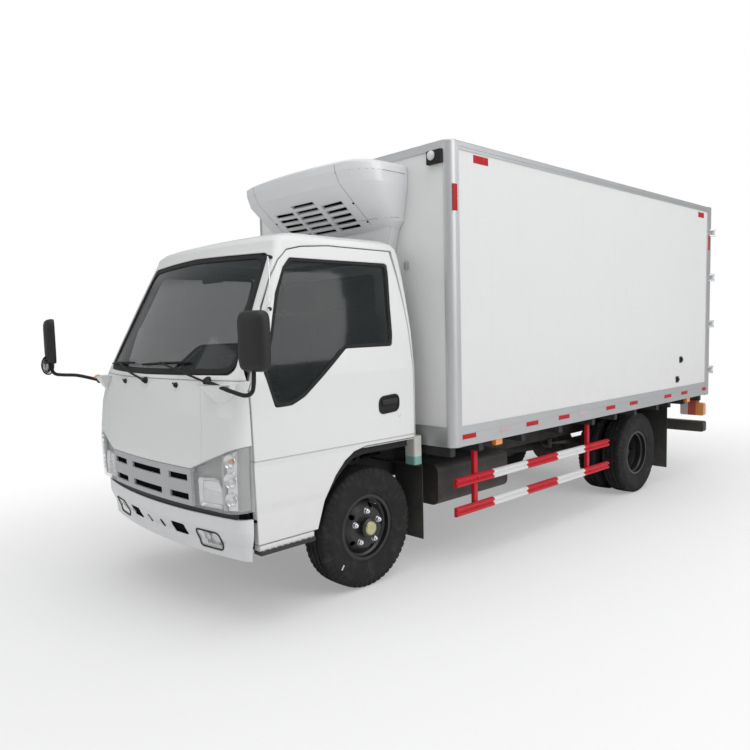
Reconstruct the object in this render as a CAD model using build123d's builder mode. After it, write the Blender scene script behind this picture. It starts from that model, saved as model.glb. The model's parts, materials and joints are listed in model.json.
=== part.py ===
"""Light forward-control truck with an insulated box body and a nose-mounted cooling unit.

Millimetres. The truck faces -Y, +X is its left side, +Z is up and the ground is z = 0.
Lengths along the truck are given as distances behind the front axle and placed by back().
"""
from math import cos, radians, sin
import os

from build123d import *

os.makedirs("parts", exist_ok=True)

# ---------------------------------------------------------------- driving dimensions
FRONT_AXLE_Y = -1762.0
WHEELBASE = 3360.0

TYRE_RADIUS = 375.0
TYRE_WIDTH = 200.0
RIM_RADIUS = 190.5
RIM_WIDTH = 152.0
RIM_FLANGE = 17.0
FRONT_WHEEL_X = 695.0
REAR_INNER_X = 595.0
REAR_OUTER_X = 830.0
DRUM_RADIUS = 150.0
STUD_CIRCLE = 203.2
STUD_COUNT = 5

KINGPIN_X = 585.0
KINGPIN_RADIUS = 15.0
SPINDLE_RADIUS = 25.0
SHAFT_CLEARANCE = 0.05
STEERING_ARM = 150.0
TIE_ROD_Z = 268.0

RAIL_TOP = 700.0
RAIL_HEIGHT = 170.0
RAIL_OUTER_X = 350.0
RAIL_FLANGE = 60.0
RAIL_PLATE = 6.0
RAIL_FRONT = -930.0
RAIL_REAR = 4600.0

SPRING_X = 325.0
SPRING_WIDTH = 60.0

BOX_HALF_WIDTH = 1040.0
BOX_FRONT = 520.0
BOX_REAR = 4728.0
BOX_BOTTOM = 822.0
BOX_TOP = 2757.0
BOX_WALL = 80.0
TRIM_THICKNESS = 8.0

REAR_POST_WIDTH = 65.0
REAR_SILL_HEIGHT = 84.0
REAR_HEADER_HEIGHT = 80.0
REAR_DOOR_GAP = 5.0
REAR_DOOR_HINGE_X = 1062.0
REAR_DOOR_HINGE_PROUD = 30.0
REAR_HINGE_RADIUS = 11.0
REAR_HINGE_PIN = 6.0
REAR_HINGE_HEIGHTS = (1080.0, 1560.0, 2040.0, 2500.0)
LOCK_ROD_RADIUS = 13.0
LOCK_ROD_X = (130.0, 760.0)

CAB_WALL = 40.0
CAB_GAP = 6.0
DOOR_FRONT_GAP = 10.0
DOOR_FRONT = -842.0
DOOR_HINGE_BACK = 55.0
DOOR_HINGE_X = 826.0
DOOR_PIN = 5.0
DOOR_PIN_LENGTH = 34.0
DOOR_HINGE_HEIGHTS = (600.0, 1180.0)
HINGE_ARM = 12.0
HINGE_ARM_WIDTH = 16.0
HINGE_POCKET = 22.0
HINGE_EYE = 9.5
HINGE_ARM_ROOTS = (745.0, 721.0)
# low, high and radius of the room swept by the door's front edge
HINGE_RELIEF = ((469.0, 640.0, 66.0), (640.0, 1000.0, 79.0), (1000.0, 1420.0, 88.0))
FLOOR_OUTER_X = 760.0
PANEL_DEPTH = 25.0
SEAT_GAP = 0.3
GLASS_DEPTH = 8.0
GLASS_THICKNESS = 5.0
CAB_BELT = 1345.0
CAB_SKIRT = 890.0
CAB_FLOOR_UNDER = 905.0
CAB_FLOOR_TOP = 955.0
TUNNEL_X = 372.0
FASCIA_BOTTOM = 662.0
GRILLE_TOP = 872.0
GRILLE_HALF_WIDTH = 492.0
LAMP_TOP_SIDE = 1010.0
FRONT_MEMBER_BOTTOM = 850.0
FOOTWELL_FRONT = -850.0
FOOTWELL_WALL = 15.0
FOOTWELL_HOLLOW = (FOOTWELL_FRONT + FOOTWELL_WALL, -455.0)
CAB_PIVOT_BACK = -895.0
CAB_PIVOT_Z = 575.0
CAB_PIVOT_RADIUS = 14.0

# mirror boss in plan, x and behind the front axle, low and high
BOSS_LOW = ((690.0, -955.0), (740.0, -940.0), (775.0, -920.0), (775.0, -880.0), (690.0, -900.0))
BOSS_HIGH = ((610.0, -1040.0), (700.0, -1040.0), (805.0, -965.0), (800.0, -880.0), (620.0, -900.0))

UNIT_HALF_WIDTH = 682.0
UNIT_TOP = 2660.0


def back(distance):
    """Y of a place this far behind the front axle."""
    return FRONT_AXLE_Y + distance


def middle(span):
    return (span[0] + span[1]) / 2


def block(x, y, z, mode=Mode.ADD):
    """A box between two places on each axis, with y behind the front axle."""
    with Locations((middle(x), back(middle(y)), middle(z))):
        Box(x[1] - x[0], y[1] - y[0], z[1] - z[0], mode=mode)


def rod(start, direction, length, radius, mode=Mode.ADD):
    """A cylinder from a start point, with y behind the front axle."""
    origin = (start[0], back(start[1]), start[2])
    with Locations(Plane(origin=origin, z_dir=direction)):
        Cylinder(radius, length, align=(Align.CENTER, Align.CENTER, Align.MIN), mode=mode)


def side_prism(points, x_from, x_to, mode=Mode.ADD, corner=0.0):
    """A side-view outline of (behind the front axle, z) points, extruded across the truck."""
    with BuildSketch(Plane.YZ.offset(x_from)) as outline:
        with BuildLine():
            Polyline([(back(y), z) for y, z in points], close=True)
        make_face()
        if corner:
            fillet(outline.vertices(), corner)
    extrude(outline.sketch, amount=x_to - x_from, mode=mode)


def front_prism(points, y_from, y_to, mode=Mode.ADD, corner=0.0):
    """A front-view outline of (x, z) points, extruded rearward between two places."""
    with BuildSketch(Plane.XZ.offset(-back(y_from))) as outline:
        with BuildLine():
            Polyline(points, close=True)
        make_face()
        if corner:
            fillet(outline.vertices(), corner)
    extrude(outline.sketch, amount=-(y_to - y_from), mode=mode)


def finish(node, name):
    """Label a finished node and write it."""
    node.label = name
    export_step(node, f"parts/{name}.step")


# ---------------------------------------------------------------- cab form
# z, half width, front on the centre line, bow of the front, front corner radius, rear
CAB_ROWS = (
    (430.0, 838.0, -1032.0, 72.0, 90.0, 400.0),
    (660.0, 840.0, -1046.0, 72.0, 90.0, 400.0),
    (890.0, 842.0, -1056.0, 76.0, 88.0, 400.0),
    (925.0, 848.0, -1056.0, 80.0, 88.0, 400.0),
    (1160.0, 850.0, -1050.0, 105.0, 86.0, 400.0),
    (CAB_BELT, 848.0, -1036.0, 145.0, 84.0, 400.0),
    (1580.0, 824.0, -908.0, 128.0, 78.0, 400.0),
    (1790.0, 784.0, -794.0, 108.0, 72.0, 400.0),
    (1930.0, 752.0, -718.0, 96.0, 66.0, 400.0),
    (2055.0, 716.0, -650.0, 84.0, 60.0, 400.0),
    (2100.0, 703.0, -634.0, 82.0, 62.0, 394.0),
    (2132.0, 674.0, -592.0, 78.0, 70.0, 378.0),
    (2156.0, 620.0, -500.0, 66.0, 80.0, 340.0),
    (2173.0, 520.0, -370.0, 50.0, 90.0, 270.0),
    (2184.0, 380.0, -200.0, 36.0, 100.0, 150.0),
)
CAB_ROOF_START = 2100.0
CAB_REAR_CORNER = 45.0


def cab_form(inset):
    """The cab's outer form, or one lying inset inside it all round."""
    with BuildPart() as form:
        for z, half_width, front, bow, corner, rear in CAB_ROWS:
            drop = inset * min(max((z - CAB_BELT) / (CAB_ROOF_START - CAB_BELT), 0.0), 1.0)
            side = half_width - inset
            corner_y = back(front + bow + inset)
            rear_y = back(rear - inset)
            with BuildSketch(Plane.XY.offset(z - drop)) as row:
                with BuildLine():
                    Line((-side, rear_y), (-side, corner_y))
                    ThreePointArc((-side, corner_y), (0, back(front + inset)), (side, corner_y))
                    Line((side, corner_y), (side, rear_y))
                    Line((side, rear_y), (-side, rear_y))
                make_face()
                by_y = row.vertices().sort_by(Axis.Y)
                fillet(by_y[:2], max(corner - inset, 8.0))
                fillet(row.vertices().sort_by(Axis.Y)[-2:], max(CAB_REAR_CORNER - inset, 5.0))
        loft(ruled=True)
    return form.part


cab_outer = cab_form(0.0)
cab_inner = cab_form(CAB_WALL)
cab_behind_panel = cab_form(PANEL_DEPTH)
cab_front_wall = cab_form(PANEL_DEPTH + SEAT_GAP)
cab_inside_door = cab_form(CAB_WALL + CAB_GAP)
lamp_seat = cab_form(CAB_WALL + SEAT_GAP)
glass_outer = cab_form(GLASS_DEPTH)
glass_inner = cab_form(GLASS_DEPTH + GLASS_THICKNESS)

# side view, behind the front axle and height
DOOR_OUTLINE = (
    (DOOR_FRONT, 475.0), (-866.0, 1300.0), (-715.0, 1728.0), (-634.0, 1890.0), (-572.0, 1985.0),
    (-505.0, 2044.0), (-400.0, 2068.0), (-199.0, 2084.0), (306.0, 2080.0), (344.0, 1700.0),
    (362.0, 1300.0), (365.0, 900.0), (-60.0, 900.0), (-154.0, 880.0), (-228.0, 835.0),
    (-301.0, 760.0), (-388.0, 629.0), (-441.0, 475.0),
)
DOOR_WINDOW = (
    (-775.0, 1385.0), (-640.0, 1800.0), (-560.0, 1945.0), (-500.0, 2003.0), (265.0, 2003.0),
    (222.0, 1750.0), (195.0, 1489.0), (-187.0, 1487.0), (-280.0, 1412.0), (-510.0, 1235.0),
    (-600.0, 1196.0), (-712.0, 1192.0),
)
WINDSCREEN_OUTLINE = (
    (-763.0, 1374.0), (0.0, 1366.0), (763.0, 1374.0), (668.0, 2030.0), (0.0, 2048.0), (-668.0, 2030.0),
)
REAR_WINDOW = ((-520.0, 1500.0), (520.0, 1500.0), (520.0, 1960.0), (-520.0, 1960.0))


with BuildPart() as door_clearance:
    with BuildSketch(Plane.YZ.offset(-1100.0)):
        with BuildLine():
            Polyline([(back(y), z) for y, z in DOOR_OUTLINE], close=True)
        make_face()
        offset(amount=CAB_GAP, kind=Kind.INTERSECTION)
    extrude(amount=2200.0)
    side_prism(
        [(DOOR_FRONT - DOOR_FRONT_GAP, 469.0), (-866.0 - DOOR_FRONT_GAP, 1300.0), (-800.0, 1300.0), (-800.0, 469.0)],
        -1100.0, 1100.0,
    )
    # the top rear corner swings back a little as the door opens
    side_prism([(300.0, 2086.0), (326.0, 2086.0), (350.0, 1700.0), (330.0, 1700.0)], -1100.0, 1100.0)
    add(cab_inside_door, mode=Mode.SUBTRACT)
    with Locations((0, 2 * CAB_WALL, 0)):
        add(cab_inside_door, mode=Mode.SUBTRACT)

with BuildPart() as windscreen_prism:
    front_prism(WINDSCREEN_OUTLINE, -1150.0, -380.0, corner=45.0)

with BuildPart() as lamp_prism:
    for side in (-1, 1):
        front_prism(
            [
                (side * GRILLE_HALF_WIDTH, FASCIA_BOTTOM), (side * 900.0, FASCIA_BOTTOM),
                (side * 900.0, LAMP_TOP_SIDE + 21.0), (side * GRILLE_HALF_WIDTH, GRILLE_TOP),
            ],
            -1150.0, DOOR_FRONT - DOOR_FRONT_GAP,
        )

# the outer part of the front wall, taken up by the front panel, grille and lamps
with BuildPart() as fascia_zone:
    block((-900, 900), (-1200, DOOR_FRONT - DOOR_FRONT_GAP), (400, CAB_BELT + 2.0))
    add(cab_front_wall, mode=Mode.SUBTRACT)

with BuildPart() as front_member:
    add(cab_front_wall)
    block((-900, 900), (-1200, FOOTWELL_FRONT + FOOTWELL_WALL), (FRONT_MEMBER_BOTTOM, CAB_FLOOR_TOP), mode=Mode.INTERSECT)

with BuildPart() as floor_plate:
    add(cab_inside_door)
    block((-900, 900), (-840, 400 - CAB_WALL - CAB_GAP), (CAB_FLOOR_UNDER, CAB_FLOOR_TOP), mode=Mode.INTERSECT)
    for low, high in ((TUNNEL_X + FOOTWELL_WALL, 900), (-900, -TUNNEL_X - FOOTWELL_WALL)):
        block((low, high), FOOTWELL_HOLLOW, (CAB_FLOOR_UNDER, CAB_FLOOR_TOP), mode=Mode.SUBTRACT)

with BuildPart() as rear_floor_edge:
    add(cab_outer)
    block((-700, 700), (340, 400), (CAB_SKIRT, CAB_FLOOR_TOP), mode=Mode.INTERSECT)

# the front wall set back behind the lamps
with BuildPart() as lamp_recess:
    add(lamp_prism.part)
    add(lamp_seat, mode=Mode.SUBTRACT)

# door hinge arms and pins: the low arm from the footwell, the high one from the front wall
hinge_axis = DOOR_FRONT + DOOR_HINGE_BACK
arm_y = (hinge_axis - HINGE_ARM_WIDTH / 2, hinge_axis + HINGE_ARM_WIDTH / 2)
with BuildPart() as hinge_arms:
    for side in (-1, 1):
        for z, reach in zip(DOOR_HINGE_HEIGHTS, HINGE_ARM_ROOTS):
            level = (z - HINGE_ARM / 2, z + HINGE_ARM / 2)
            block(sorted((side * reach, side * DOOR_HINGE_X)), arm_y, level)
            rod((side * DOOR_HINGE_X, hinge_axis, level[0]), (0, 0, 1), HINGE_ARM, HINGE_ARM_WIDTH / 2)
            rod((side * DOOR_HINGE_X, hinge_axis, z - DOOR_PIN_LENGTH / 2), (0, 0, 1), DOOR_PIN_LENGTH, DOOR_PIN)
        block(sorted((side * reach, side * (reach + HINGE_ARM_WIDTH))), (-980.0, arm_y[1]), level)
    add(cab_front_wall, mode=Mode.INTERSECT)

# ---------------------------------------------------------------- cab shell
with BuildPart() as cab_shell:
    add(cab_outer)
    add(cab_inner, mode=Mode.SUBTRACT)
    block((-900, 900), (-1200, 500), (400, CAB_SKIRT), mode=Mode.SUBTRACT)
    add(fascia_zone.part, mode=Mode.SUBTRACT)
    add(front_member.part)
    add(floor_plate.part)
    add(rear_floor_edge.part)
    add(lamp_recess.part, mode=Mode.SUBTRACT)
    for side in (-1, 1):
        block(sorted((side * TUNNEL_X, side * FLOOR_OUTER_X)), (FOOTWELL_FRONT, -440), (575, 910))
        block(sorted((side * (TUNNEL_X + FOOTWELL_WALL), side * 800.0)), FOOTWELL_HOLLOW, (615, 960),
              mode=Mode.SUBTRACT)
        block(sorted((side * 700.0, side * 838.0)), (-836, -470), (440, 469))
        block(sorted((side * 735.0, side * FLOOR_OUTER_X)), (-836, -470), (440, 580))
    add(door_clearance.part, mode=Mode.SUBTRACT)
    add(windscreen_prism.part, mode=Mode.SUBTRACT)
    front_prism(REAR_WINDOW, 300.0, 450.0, mode=Mode.SUBTRACT, corner=50.0)
    for side in (-1, 1):
        # pivot lug ahead of each footwell
        side_prism(
            [
                (CAB_PIVOT_BACK - 25, CAB_PIVOT_Z - 25), (FOOTWELL_FRONT + 5, CAB_PIVOT_Z - 25),
                (FOOTWELL_FRONT + 5, CAB_PIVOT_Z + 85), (CAB_PIVOT_BACK + 25, CAB_PIVOT_Z + 85),
                (CAB_PIVOT_BACK - 25, CAB_PIVOT_Z + 25),
            ],
            *sorted((side * TUNNEL_X, side * (TUNNEL_X + FOOTWELL_WALL))),
        )
        rod((side * (TUNNEL_X - 1), CAB_PIVOT_BACK, CAB_PIVOT_Z), (side, 0, 0), 18.0,
            CAB_PIVOT_RADIUS + SHAFT_CLEARANCE, mode=Mode.SUBTRACT)
        # room for the door's front edge, which swings inward about the hinge
        for low, high, radius in HINGE_RELIEF:
            rod((side * DOOR_HINGE_X, hinge_axis, low), (0, 0, 1), high - low, radius, mode=Mode.SUBTRACT)
    add(hinge_arms.part)
finish(cab_shell.part, "cab_shell")

# ---------------------------------------------------------------- front panel, grille and lamps
PANEL_GAP = 3.0
with BuildPart() as front_panel:
    add(cab_outer)
    add(cab_behind_panel, mode=Mode.SUBTRACT)
    front_prism(
        [
            (-900.0, LAMP_TOP_SIDE + 21.0), (-GRILLE_HALF_WIDTH, GRILLE_TOP), (GRILLE_HALF_WIDTH, GRILLE_TOP),
            (900.0, LAMP_TOP_SIDE + 21.0), (900.0, CAB_BELT), (-900.0, CAB_BELT),
        ],
        -1150.0, DOOR_FRONT - DOOR_FRONT_GAP, mode=Mode.INTERSECT,
    )
    # mirror bosses stand out of both upper corners
    for side in (-1, 1):
        with BuildSketch(Plane.XY.offset(1215.0)) as boss_low:
            with BuildLine():
                Polyline([(side * x, back(y)) for x, y in BOSS_LOW], close=True)
            make_face()
        with BuildSketch(Plane.XY.offset(1330.0)) as boss_high:
            with BuildLine():
                Polyline([(side * x, back(y)) for x, y in BOSS_HIGH], close=True)
            make_face()
        loft(sections=[boss_low.sketch, boss_high.sketch], ruled=True)
    add(cab_behind_panel, mode=Mode.SUBTRACT)
    add(door_clearance.part, mode=Mode.SUBTRACT)
finish(front_panel.part, "front_panel")

SLOT_COLUMNS = ((-455.0, -270.0), (-180.0, 180.0), (270.0, 455.0))
SLOT_ROWS = ((690.0, 727.0), (797.0, 833.0))
grille_outline = [
    (-GRILLE_HALF_WIDTH + PANEL_GAP, FASCIA_BOTTOM), (GRILLE_HALF_WIDTH - PANEL_GAP, FASCIA_BOTTOM),
    (GRILLE_HALF_WIDTH - PANEL_GAP, GRILLE_TOP - PANEL_GAP), (-GRILLE_HALF_WIDTH + PANEL_GAP, GRILLE_TOP - PANEL_GAP),
]
with BuildPart() as grille:
    add(cab_outer)
    add(glass_inner, mode=Mode.SUBTRACT)
    front_prism(grille_outline, -1150.0, -900.0, mode=Mode.INTERSECT)
    for x_from, x_to in SLOT_COLUMNS:
        for z_from, z_to in SLOT_ROWS:
            block((x_from, x_to), (-1150, -900), (z_from, z_to), mode=Mode.SUBTRACT)
with BuildPart() as grille_flange:
    add(cab_outer)
    add(cab_behind_panel, mode=Mode.SUBTRACT)
    block((-GRILLE_HALF_WIDTH + PANEL_GAP, GRILLE_HALF_WIDTH - PANEL_GAP), (-1150, -900),
          (FRONT_MEMBER_BOTTOM, GRILLE_TOP - PANEL_GAP), mode=Mode.INTERSECT)
with BuildPart() as grille_whole:
    add(grille.part)
    add(grille_flange.part)
finish(grille_whole.part, "grille")

LAMP_DEEP_FROM = 765.0
with BuildPart() as headlamps:
    add(lamp_prism.part)
    add(cab_outer, mode=Mode.INTERSECT)
    add(cab_inner, mode=Mode.SUBTRACT)
    block((-900, 900), (-1200, -800), (LAMP_TOP_SIDE - 2.0, 1100), mode=Mode.SUBTRACT)
with BuildPart() as lamp_low_cut:
    block((-900, 900), (-1200, -800), (600, LAMP_DEEP_FROM))
    add(cab_behind_panel, mode=Mode.INTERSECT)
with BuildPart() as headlamp_pair:
    add(headlamps.part)
    add(lamp_low_cut.part, mode=Mode.SUBTRACT)
    add(door_clearance.part, mode=Mode.SUBTRACT)
finish(headlamp_pair.part, "headlamps")

# ---------------------------------------------------------------- glass
with BuildPart() as windscreen:
    add(glass_outer)
    add(glass_inner, mode=Mode.SUBTRACT)
    add(windscreen_prism.part, mode=Mode.INTERSECT)
with BuildPart() as cab_glass:
    add(windscreen.part)
    front_prism(REAR_WINDOW, 400.0 - GLASS_DEPTH - GLASS_THICKNESS, 400.0 - GLASS_DEPTH, corner=50.0)
finish(cab_glass.part, "cab_glass")

# ---------------------------------------------------------------- cab doors
with BuildPart() as door_left:
    side_prism(DOOR_OUTLINE, 600.0, 1100.0)
    add(cab_outer, mode=Mode.INTERSECT)
    add(cab_inner, mode=Mode.SUBTRACT)
    with Locations((0, 2 * CAB_WALL, 0)):
        add(cab_inner, mode=Mode.SUBTRACT)
    side_prism(DOOR_WINDOW, 300.0, 1100.0, mode=Mode.SUBTRACT, corner=22.0)
    for z in DOOR_HINGE_HEIGHTS:
        block((700.0, DOOR_HINGE_X + HINGE_EYE), (DOOR_FRONT - 40.0, hinge_axis + 14.0),
              (z - HINGE_POCKET / 2, z + HINGE_POCKET / 2), mode=Mode.SUBTRACT)
        rod((DOOR_HINGE_X, hinge_axis, z - DOOR_PIN_LENGTH / 2 - 1.0), (0, 0, 1), DOOR_PIN_LENGTH + 2.0,
            DOOR_PIN + SHAFT_CLEARANCE, mode=Mode.SUBTRACT)
finish(door_left.part, "door_left")
with BuildPart() as door_right:
    mirror(door_left.part, about=Plane.YZ)
finish(door_right.part, "door_right")

with BuildPart() as door_glass_left:
    side_prism(DOOR_WINDOW, 300.0, 1100.0, corner=22.0)
    add(glass_outer, mode=Mode.INTERSECT)
    add(glass_inner, mode=Mode.SUBTRACT)
finish(door_glass_left.part, "door_glass_left")
with BuildPart() as door_glass_right:
    mirror(door_glass_left.part, about=Plane.YZ)
finish(door_glass_right.part, "door_glass_right")

# ---------------------------------------------------------------- cab fittings
SEAT_FLOOR = CAB_FLOOR_TOP + SEAT_GAP
DASH_HALF_WIDTH = 714.0
DASH_OUTLINE = (
    (-1010.0, SEAT_FLOOR), (-1010.0, 1335.0), (-900.0, 1350.0), (-770.0, 1335.0), (-705.0, 1270.0),
    (-695.0, 1180.0), (-745.0, 1110.0), (-765.0, 1010.0), (-800.0, SEAT_FLOOR),
)
WHEEL_CENTRE = (380.0, -535.0, 1330.0)
WHEEL_TILT = 38.0
STEERING_WHEEL_RADIUS = 200.0
STEERING_RIM = 14.0
COLUMN_RADIUS = 22.0
COLUMN_LENGTH = 330.0

column_direction = (0.0, -sin(radians(WHEEL_TILT)), -cos(radians(WHEEL_TILT)))
with BuildPart() as dashboard:
    side_prism(DASH_OUTLINE, -DASH_HALF_WIDTH, DASH_HALF_WIDTH)
    add(cab_inside_door, mode=Mode.INTERSECT)
    rod(WHEEL_CENTRE, column_direction, COLUMN_LENGTH + SEAT_GAP, COLUMN_RADIUS + SEAT_GAP, mode=Mode.SUBTRACT)
finish(dashboard.part, "dashboard")

with BuildPart() as steering_wheel:
    wheel_plane = Plane(origin=(WHEEL_CENTRE[0], back(WHEEL_CENTRE[1]), WHEEL_CENTRE[2]),
                        x_dir=(1, 0, 0), z_dir=column_direction)
    with Locations(wheel_plane):
        Torus(STEERING_WHEEL_RADIUS, STEERING_RIM)
        Cylinder(62.0, 34.0)
        with PolarLocations(STEERING_WHEEL_RADIUS / 2, 3, start_angle=-90.0):
            Box(STEERING_WHEEL_RADIUS, 30.0, 12.0)
    rod(WHEEL_CENTRE, column_direction, COLUMN_LENGTH, COLUMN_RADIUS)
finish(steering_wheel.part, "steering_wheel")

# x from and to of each seat
SEATS = ((135.0, 625.0), (-645.0, 60.0))
SEAT_OUTLINE = (
    (-330.0, SEAT_FLOOR), (-360.0, 1120.0), (-350.0, 1165.0), (120.0, 1150.0), (205.0, 1690.0), (262.0, 1700.0),
    (290.0, 1660.0), (262.0, 1100.0), (255.0, SEAT_FLOOR),
)
HEADREST_OUTLINE = ((205.0, 1735.0), (222.0, 1915.0), (275.0, 1925.0), (290.0, 1735.0))
with BuildPart() as seats:
    for x_from, x_to in SEATS:
        side_prism(SEAT_OUTLINE, x_from, x_to)
        count = round((x_to - x_from) / 350.0)
        for place in range(count):
            centre = x_from + (place + 0.5) * (x_to - x_from) / count
            side_prism(HEADREST_OUTLINE, centre - 125.0, centre + 125.0)
            for post in (-45.0, 45.0):
                rod((centre + post, 248.0, 1660.0), (0, 0, 1), 90.0, 6.0)
finish(seats.part, "seats")

with BuildPart() as step_boards:
    for side in (-1, 1):
        block(sorted((side * 782.0, side * 850.0)), (-836, -470), (418, 440))
finish(step_boards.part, "step_boards")

# ---------------------------------------------------------------- mirrors
MIRROR_ARM_RADIUS = 11.0
LEFT_ARM = ((790.0, -960.0, 1290.0), (852.0, -1010.0, 1296.0), (950.0, -975.0, 1292.0), (1000.0, -940.0, 1330.0),
            (1000.0, -940.0, 1410.0))
LEFT_ARM_BENDS = (30.0, 45.0, 35.0)
RIGHT_ARM = ((-750.0, -990.0, 1300.0), (-820.0, -1090.0, 1338.0), (-1046.0, -1190.0, 1338.0),
             (-1046.0, -1190.0, 1430.0))
RIGHT_ARM_BENDS = (60.0, 40.0)


def arm_route(points, bends):
    with BuildLine() as route:
        FilletPolyline(*[(x, back(y), z) for x, y, z in points], radius=bends)
    return route.line


def arm_tube(points, bends):
    route = arm_route(points, bends)
    with BuildPart() as tube:
        with BuildSketch(route ^ 0) as section:
            Circle(MIRROR_ARM_RADIUS)
        sweep(section.sketch, path=route)
    return tube.part


with BuildPart() as mirrors:
    # centre, turn about z, of each housing
    for (x, y, z), turn, points, bends in (
        ((1005.0, -945.0, 1552.0), 15.0, LEFT_ARM, LEFT_ARM_BENDS),
        ((-1050.0, -1195.0, 1565.0), -40.0, RIGHT_ARM, RIGHT_ARM_BENDS),
    ):
        with Locations(Location((x, back(y), z), (0, 0, turn))):
            Box(182.0, 62.0, 300.0)
        add(arm_tube(points, bends))
    # round mirror ahead of the right housing
    rod((-1052.0, -1252.0, 1405.0), (0.3, 0.95, 0), 22.0, 72.0)
    rod((-1046.0, -1245.0, 1405.0), (0, 1, 0), 60.0, 8.0)
    add(front_panel.part, mode=Mode.SUBTRACT)
    add(cab_inner, mode=Mode.SUBTRACT)
finish(mirrors.part, "mirrors")

# ---------------------------------------------------------------- chassis frame
CROSS_MEMBERS = (-900.0, -620.0, 560.0, 1180.0, 2100.0, 2800.0, 3360.0, 4560.0)
MEMBER_DEPTH = 50.0
FRONT_SPRING = (-520.0, 520.0)
REAR_SPRING = (WHEELBASE - 620.0, WHEELBASE + 620.0)
RAIL_BOTTOM = RAIL_TOP - RAIL_HEIGHT
SPRING_EYE_Z = 468.0
SPRING_EYE_RADIUS = 22.0
SPRING_PIN_RADIUS = 8.0
CAB_SUPPORT = (300.0, 340.0)
CAB_SUPPORT_TOP = 885.0

with BuildPart() as chassis_frame:
    for side in (-1, 1):
        block(sorted((side * (RAIL_OUTER_X - RAIL_FLANGE), side * RAIL_OUTER_X)), (RAIL_FRONT, RAIL_REAR),
              (RAIL_BOTTOM, RAIL_TOP))
        block(sorted((side * (RAIL_OUTER_X - RAIL_FLANGE - 10), side * (RAIL_OUTER_X - RAIL_PLATE))),
              (RAIL_FRONT, RAIL_REAR), (RAIL_BOTTOM + RAIL_PLATE, RAIL_TOP - RAIL_PLATE), mode=Mode.SUBTRACT)
    inner = RAIL_OUTER_X - RAIL_PLATE
    for y in CROSS_MEMBERS:
        block((-inner, inner), (y - 35, y + 35), (RAIL_TOP - RAIL_PLATE - MEMBER_DEPTH, RAIL_TOP - RAIL_PLATE))
        block((-inner, inner), (y - 29, y + 35), (RAIL_TOP - RAIL_PLATE - MEMBER_DEPTH + 6, RAIL_TOP - RAIL_PLATE - 6),
              mode=Mode.SUBTRACT)
    # spring hangers with their pins
    for side in (-1, 1):
        for y in (*FRONT_SPRING, *REAR_SPRING):
            for cheek in (-1, 1):
                inner_x = side * SPRING_X + cheek * (SPRING_WIDTH / 2 + 1.0)
                outer_x = side * SPRING_X + cheek * (SPRING_WIDTH / 2 + 9.0)
                block(sorted((inner_x, outer_x)), (y - 28, y + 28), (SPRING_EYE_Z - 22, RAIL_BOTTOM + 3))
            block(sorted((side * SPRING_X - SPRING_WIDTH / 2 - 9, side * SPRING_X + SPRING_WIDTH / 2 + 9)),
                  (y - 28, y + 28), (RAIL_BOTTOM - 6, RAIL_BOTTOM + 3))
            rod((side * SPRING_X - SPRING_WIDTH / 2 - 5, y, SPRING_EYE_Z), (1, 0, 0), SPRING_WIDTH + 10,
                SPRING_PIN_RADIUS)
        # cab pivot pins and the rear cab support
        rod((side * (RAIL_OUTER_X - 3), CAB_PIVOT_BACK, CAB_PIVOT_Z), (side, 0, 0), 36.0, CAB_PIVOT_RADIUS)
        block(sorted((side * (RAIL_OUTER_X - RAIL_FLANGE), side * RAIL_OUTER_X)), CAB_SUPPORT,
              (RAIL_TOP - 2, CAB_SUPPORT_TOP))
        rod((side * (RAIL_OUTER_X - RAIL_FLANGE / 2), middle(CAB_SUPPORT), CAB_SUPPORT_TOP - 1), (0, 0, 1),
            CAB_FLOOR_UNDER - SEAT_GAP - CAB_SUPPORT_TOP + 1, 18.0)
    block((-RAIL_OUTER_X, RAIL_OUTER_X), CAB_SUPPORT, (CAB_SUPPORT_TOP - 50, CAB_SUPPORT_TOP))
finish(chassis_frame.part, "chassis_frame")

# ---------------------------------------------------------------- engine, gearbox and shaft
ENGINE = ((-265.0, 265.0), (-400.0, 270.0), (435.0, 880.0))
GEARBOX_END = 980.0
SHAFT_Z = 500.0
PROPSHAFT_RADIUS = 38.0
DIFFERENTIAL_FRONT = WHEELBASE - 230.0
REAR_AXLE_Z = TYRE_RADIUS

with BuildPart() as engine_block:
    block(*ENGINE)
    # mounts out to the rails
    for side in (-1, 1):
        block(sorted((side * 260.0, side * (RAIL_OUTER_X - RAIL_PLATE))), (-120, -60), (560, 600))
finish(engine_block.part, "engine_block")

with BuildPart() as gearbox:
    with BuildSketch(Plane.XZ.offset(-back(ENGINE[1][1]))) as bell:
        with Locations((0, 560)):
            RectangleRounded(400, 250, 60)
    with BuildSketch(Plane.XZ.offset(-back(560))) as case:
        with Locations((0, 540)):
            RectangleRounded(250, 190, 40)
    with BuildSketch(Plane.XZ.offset(-back(GEARBOX_END))) as tail:
        with Locations((0, SHAFT_Z)):
            RectangleRounded(130, 130, 40)
    loft(sections=[bell.sketch, case.sketch, tail.sketch], ruled=True)
finish(gearbox.part, "gearbox")

shaft_ends = (GEARBOX_END + SEAT_GAP, DIFFERENTIAL_FRONT - SEAT_GAP)
shaft_drop = (REAR_AXLE_Z - SHAFT_Z) / (DIFFERENTIAL_FRONT - GEARBOX_END)
with BuildPart() as propshaft:
    start = (0, GEARBOX_END - 20, SHAFT_Z - 20 * shaft_drop)
    rod(start, (0, 1, shaft_drop), DIFFERENTIAL_FRONT - GEARBOX_END + 40, PROPSHAFT_RADIUS)
    block((-100, 100), shaft_ends, (200, 700), mode=Mode.INTERSECT)
finish(propshaft.part, "propshaft")

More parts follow.
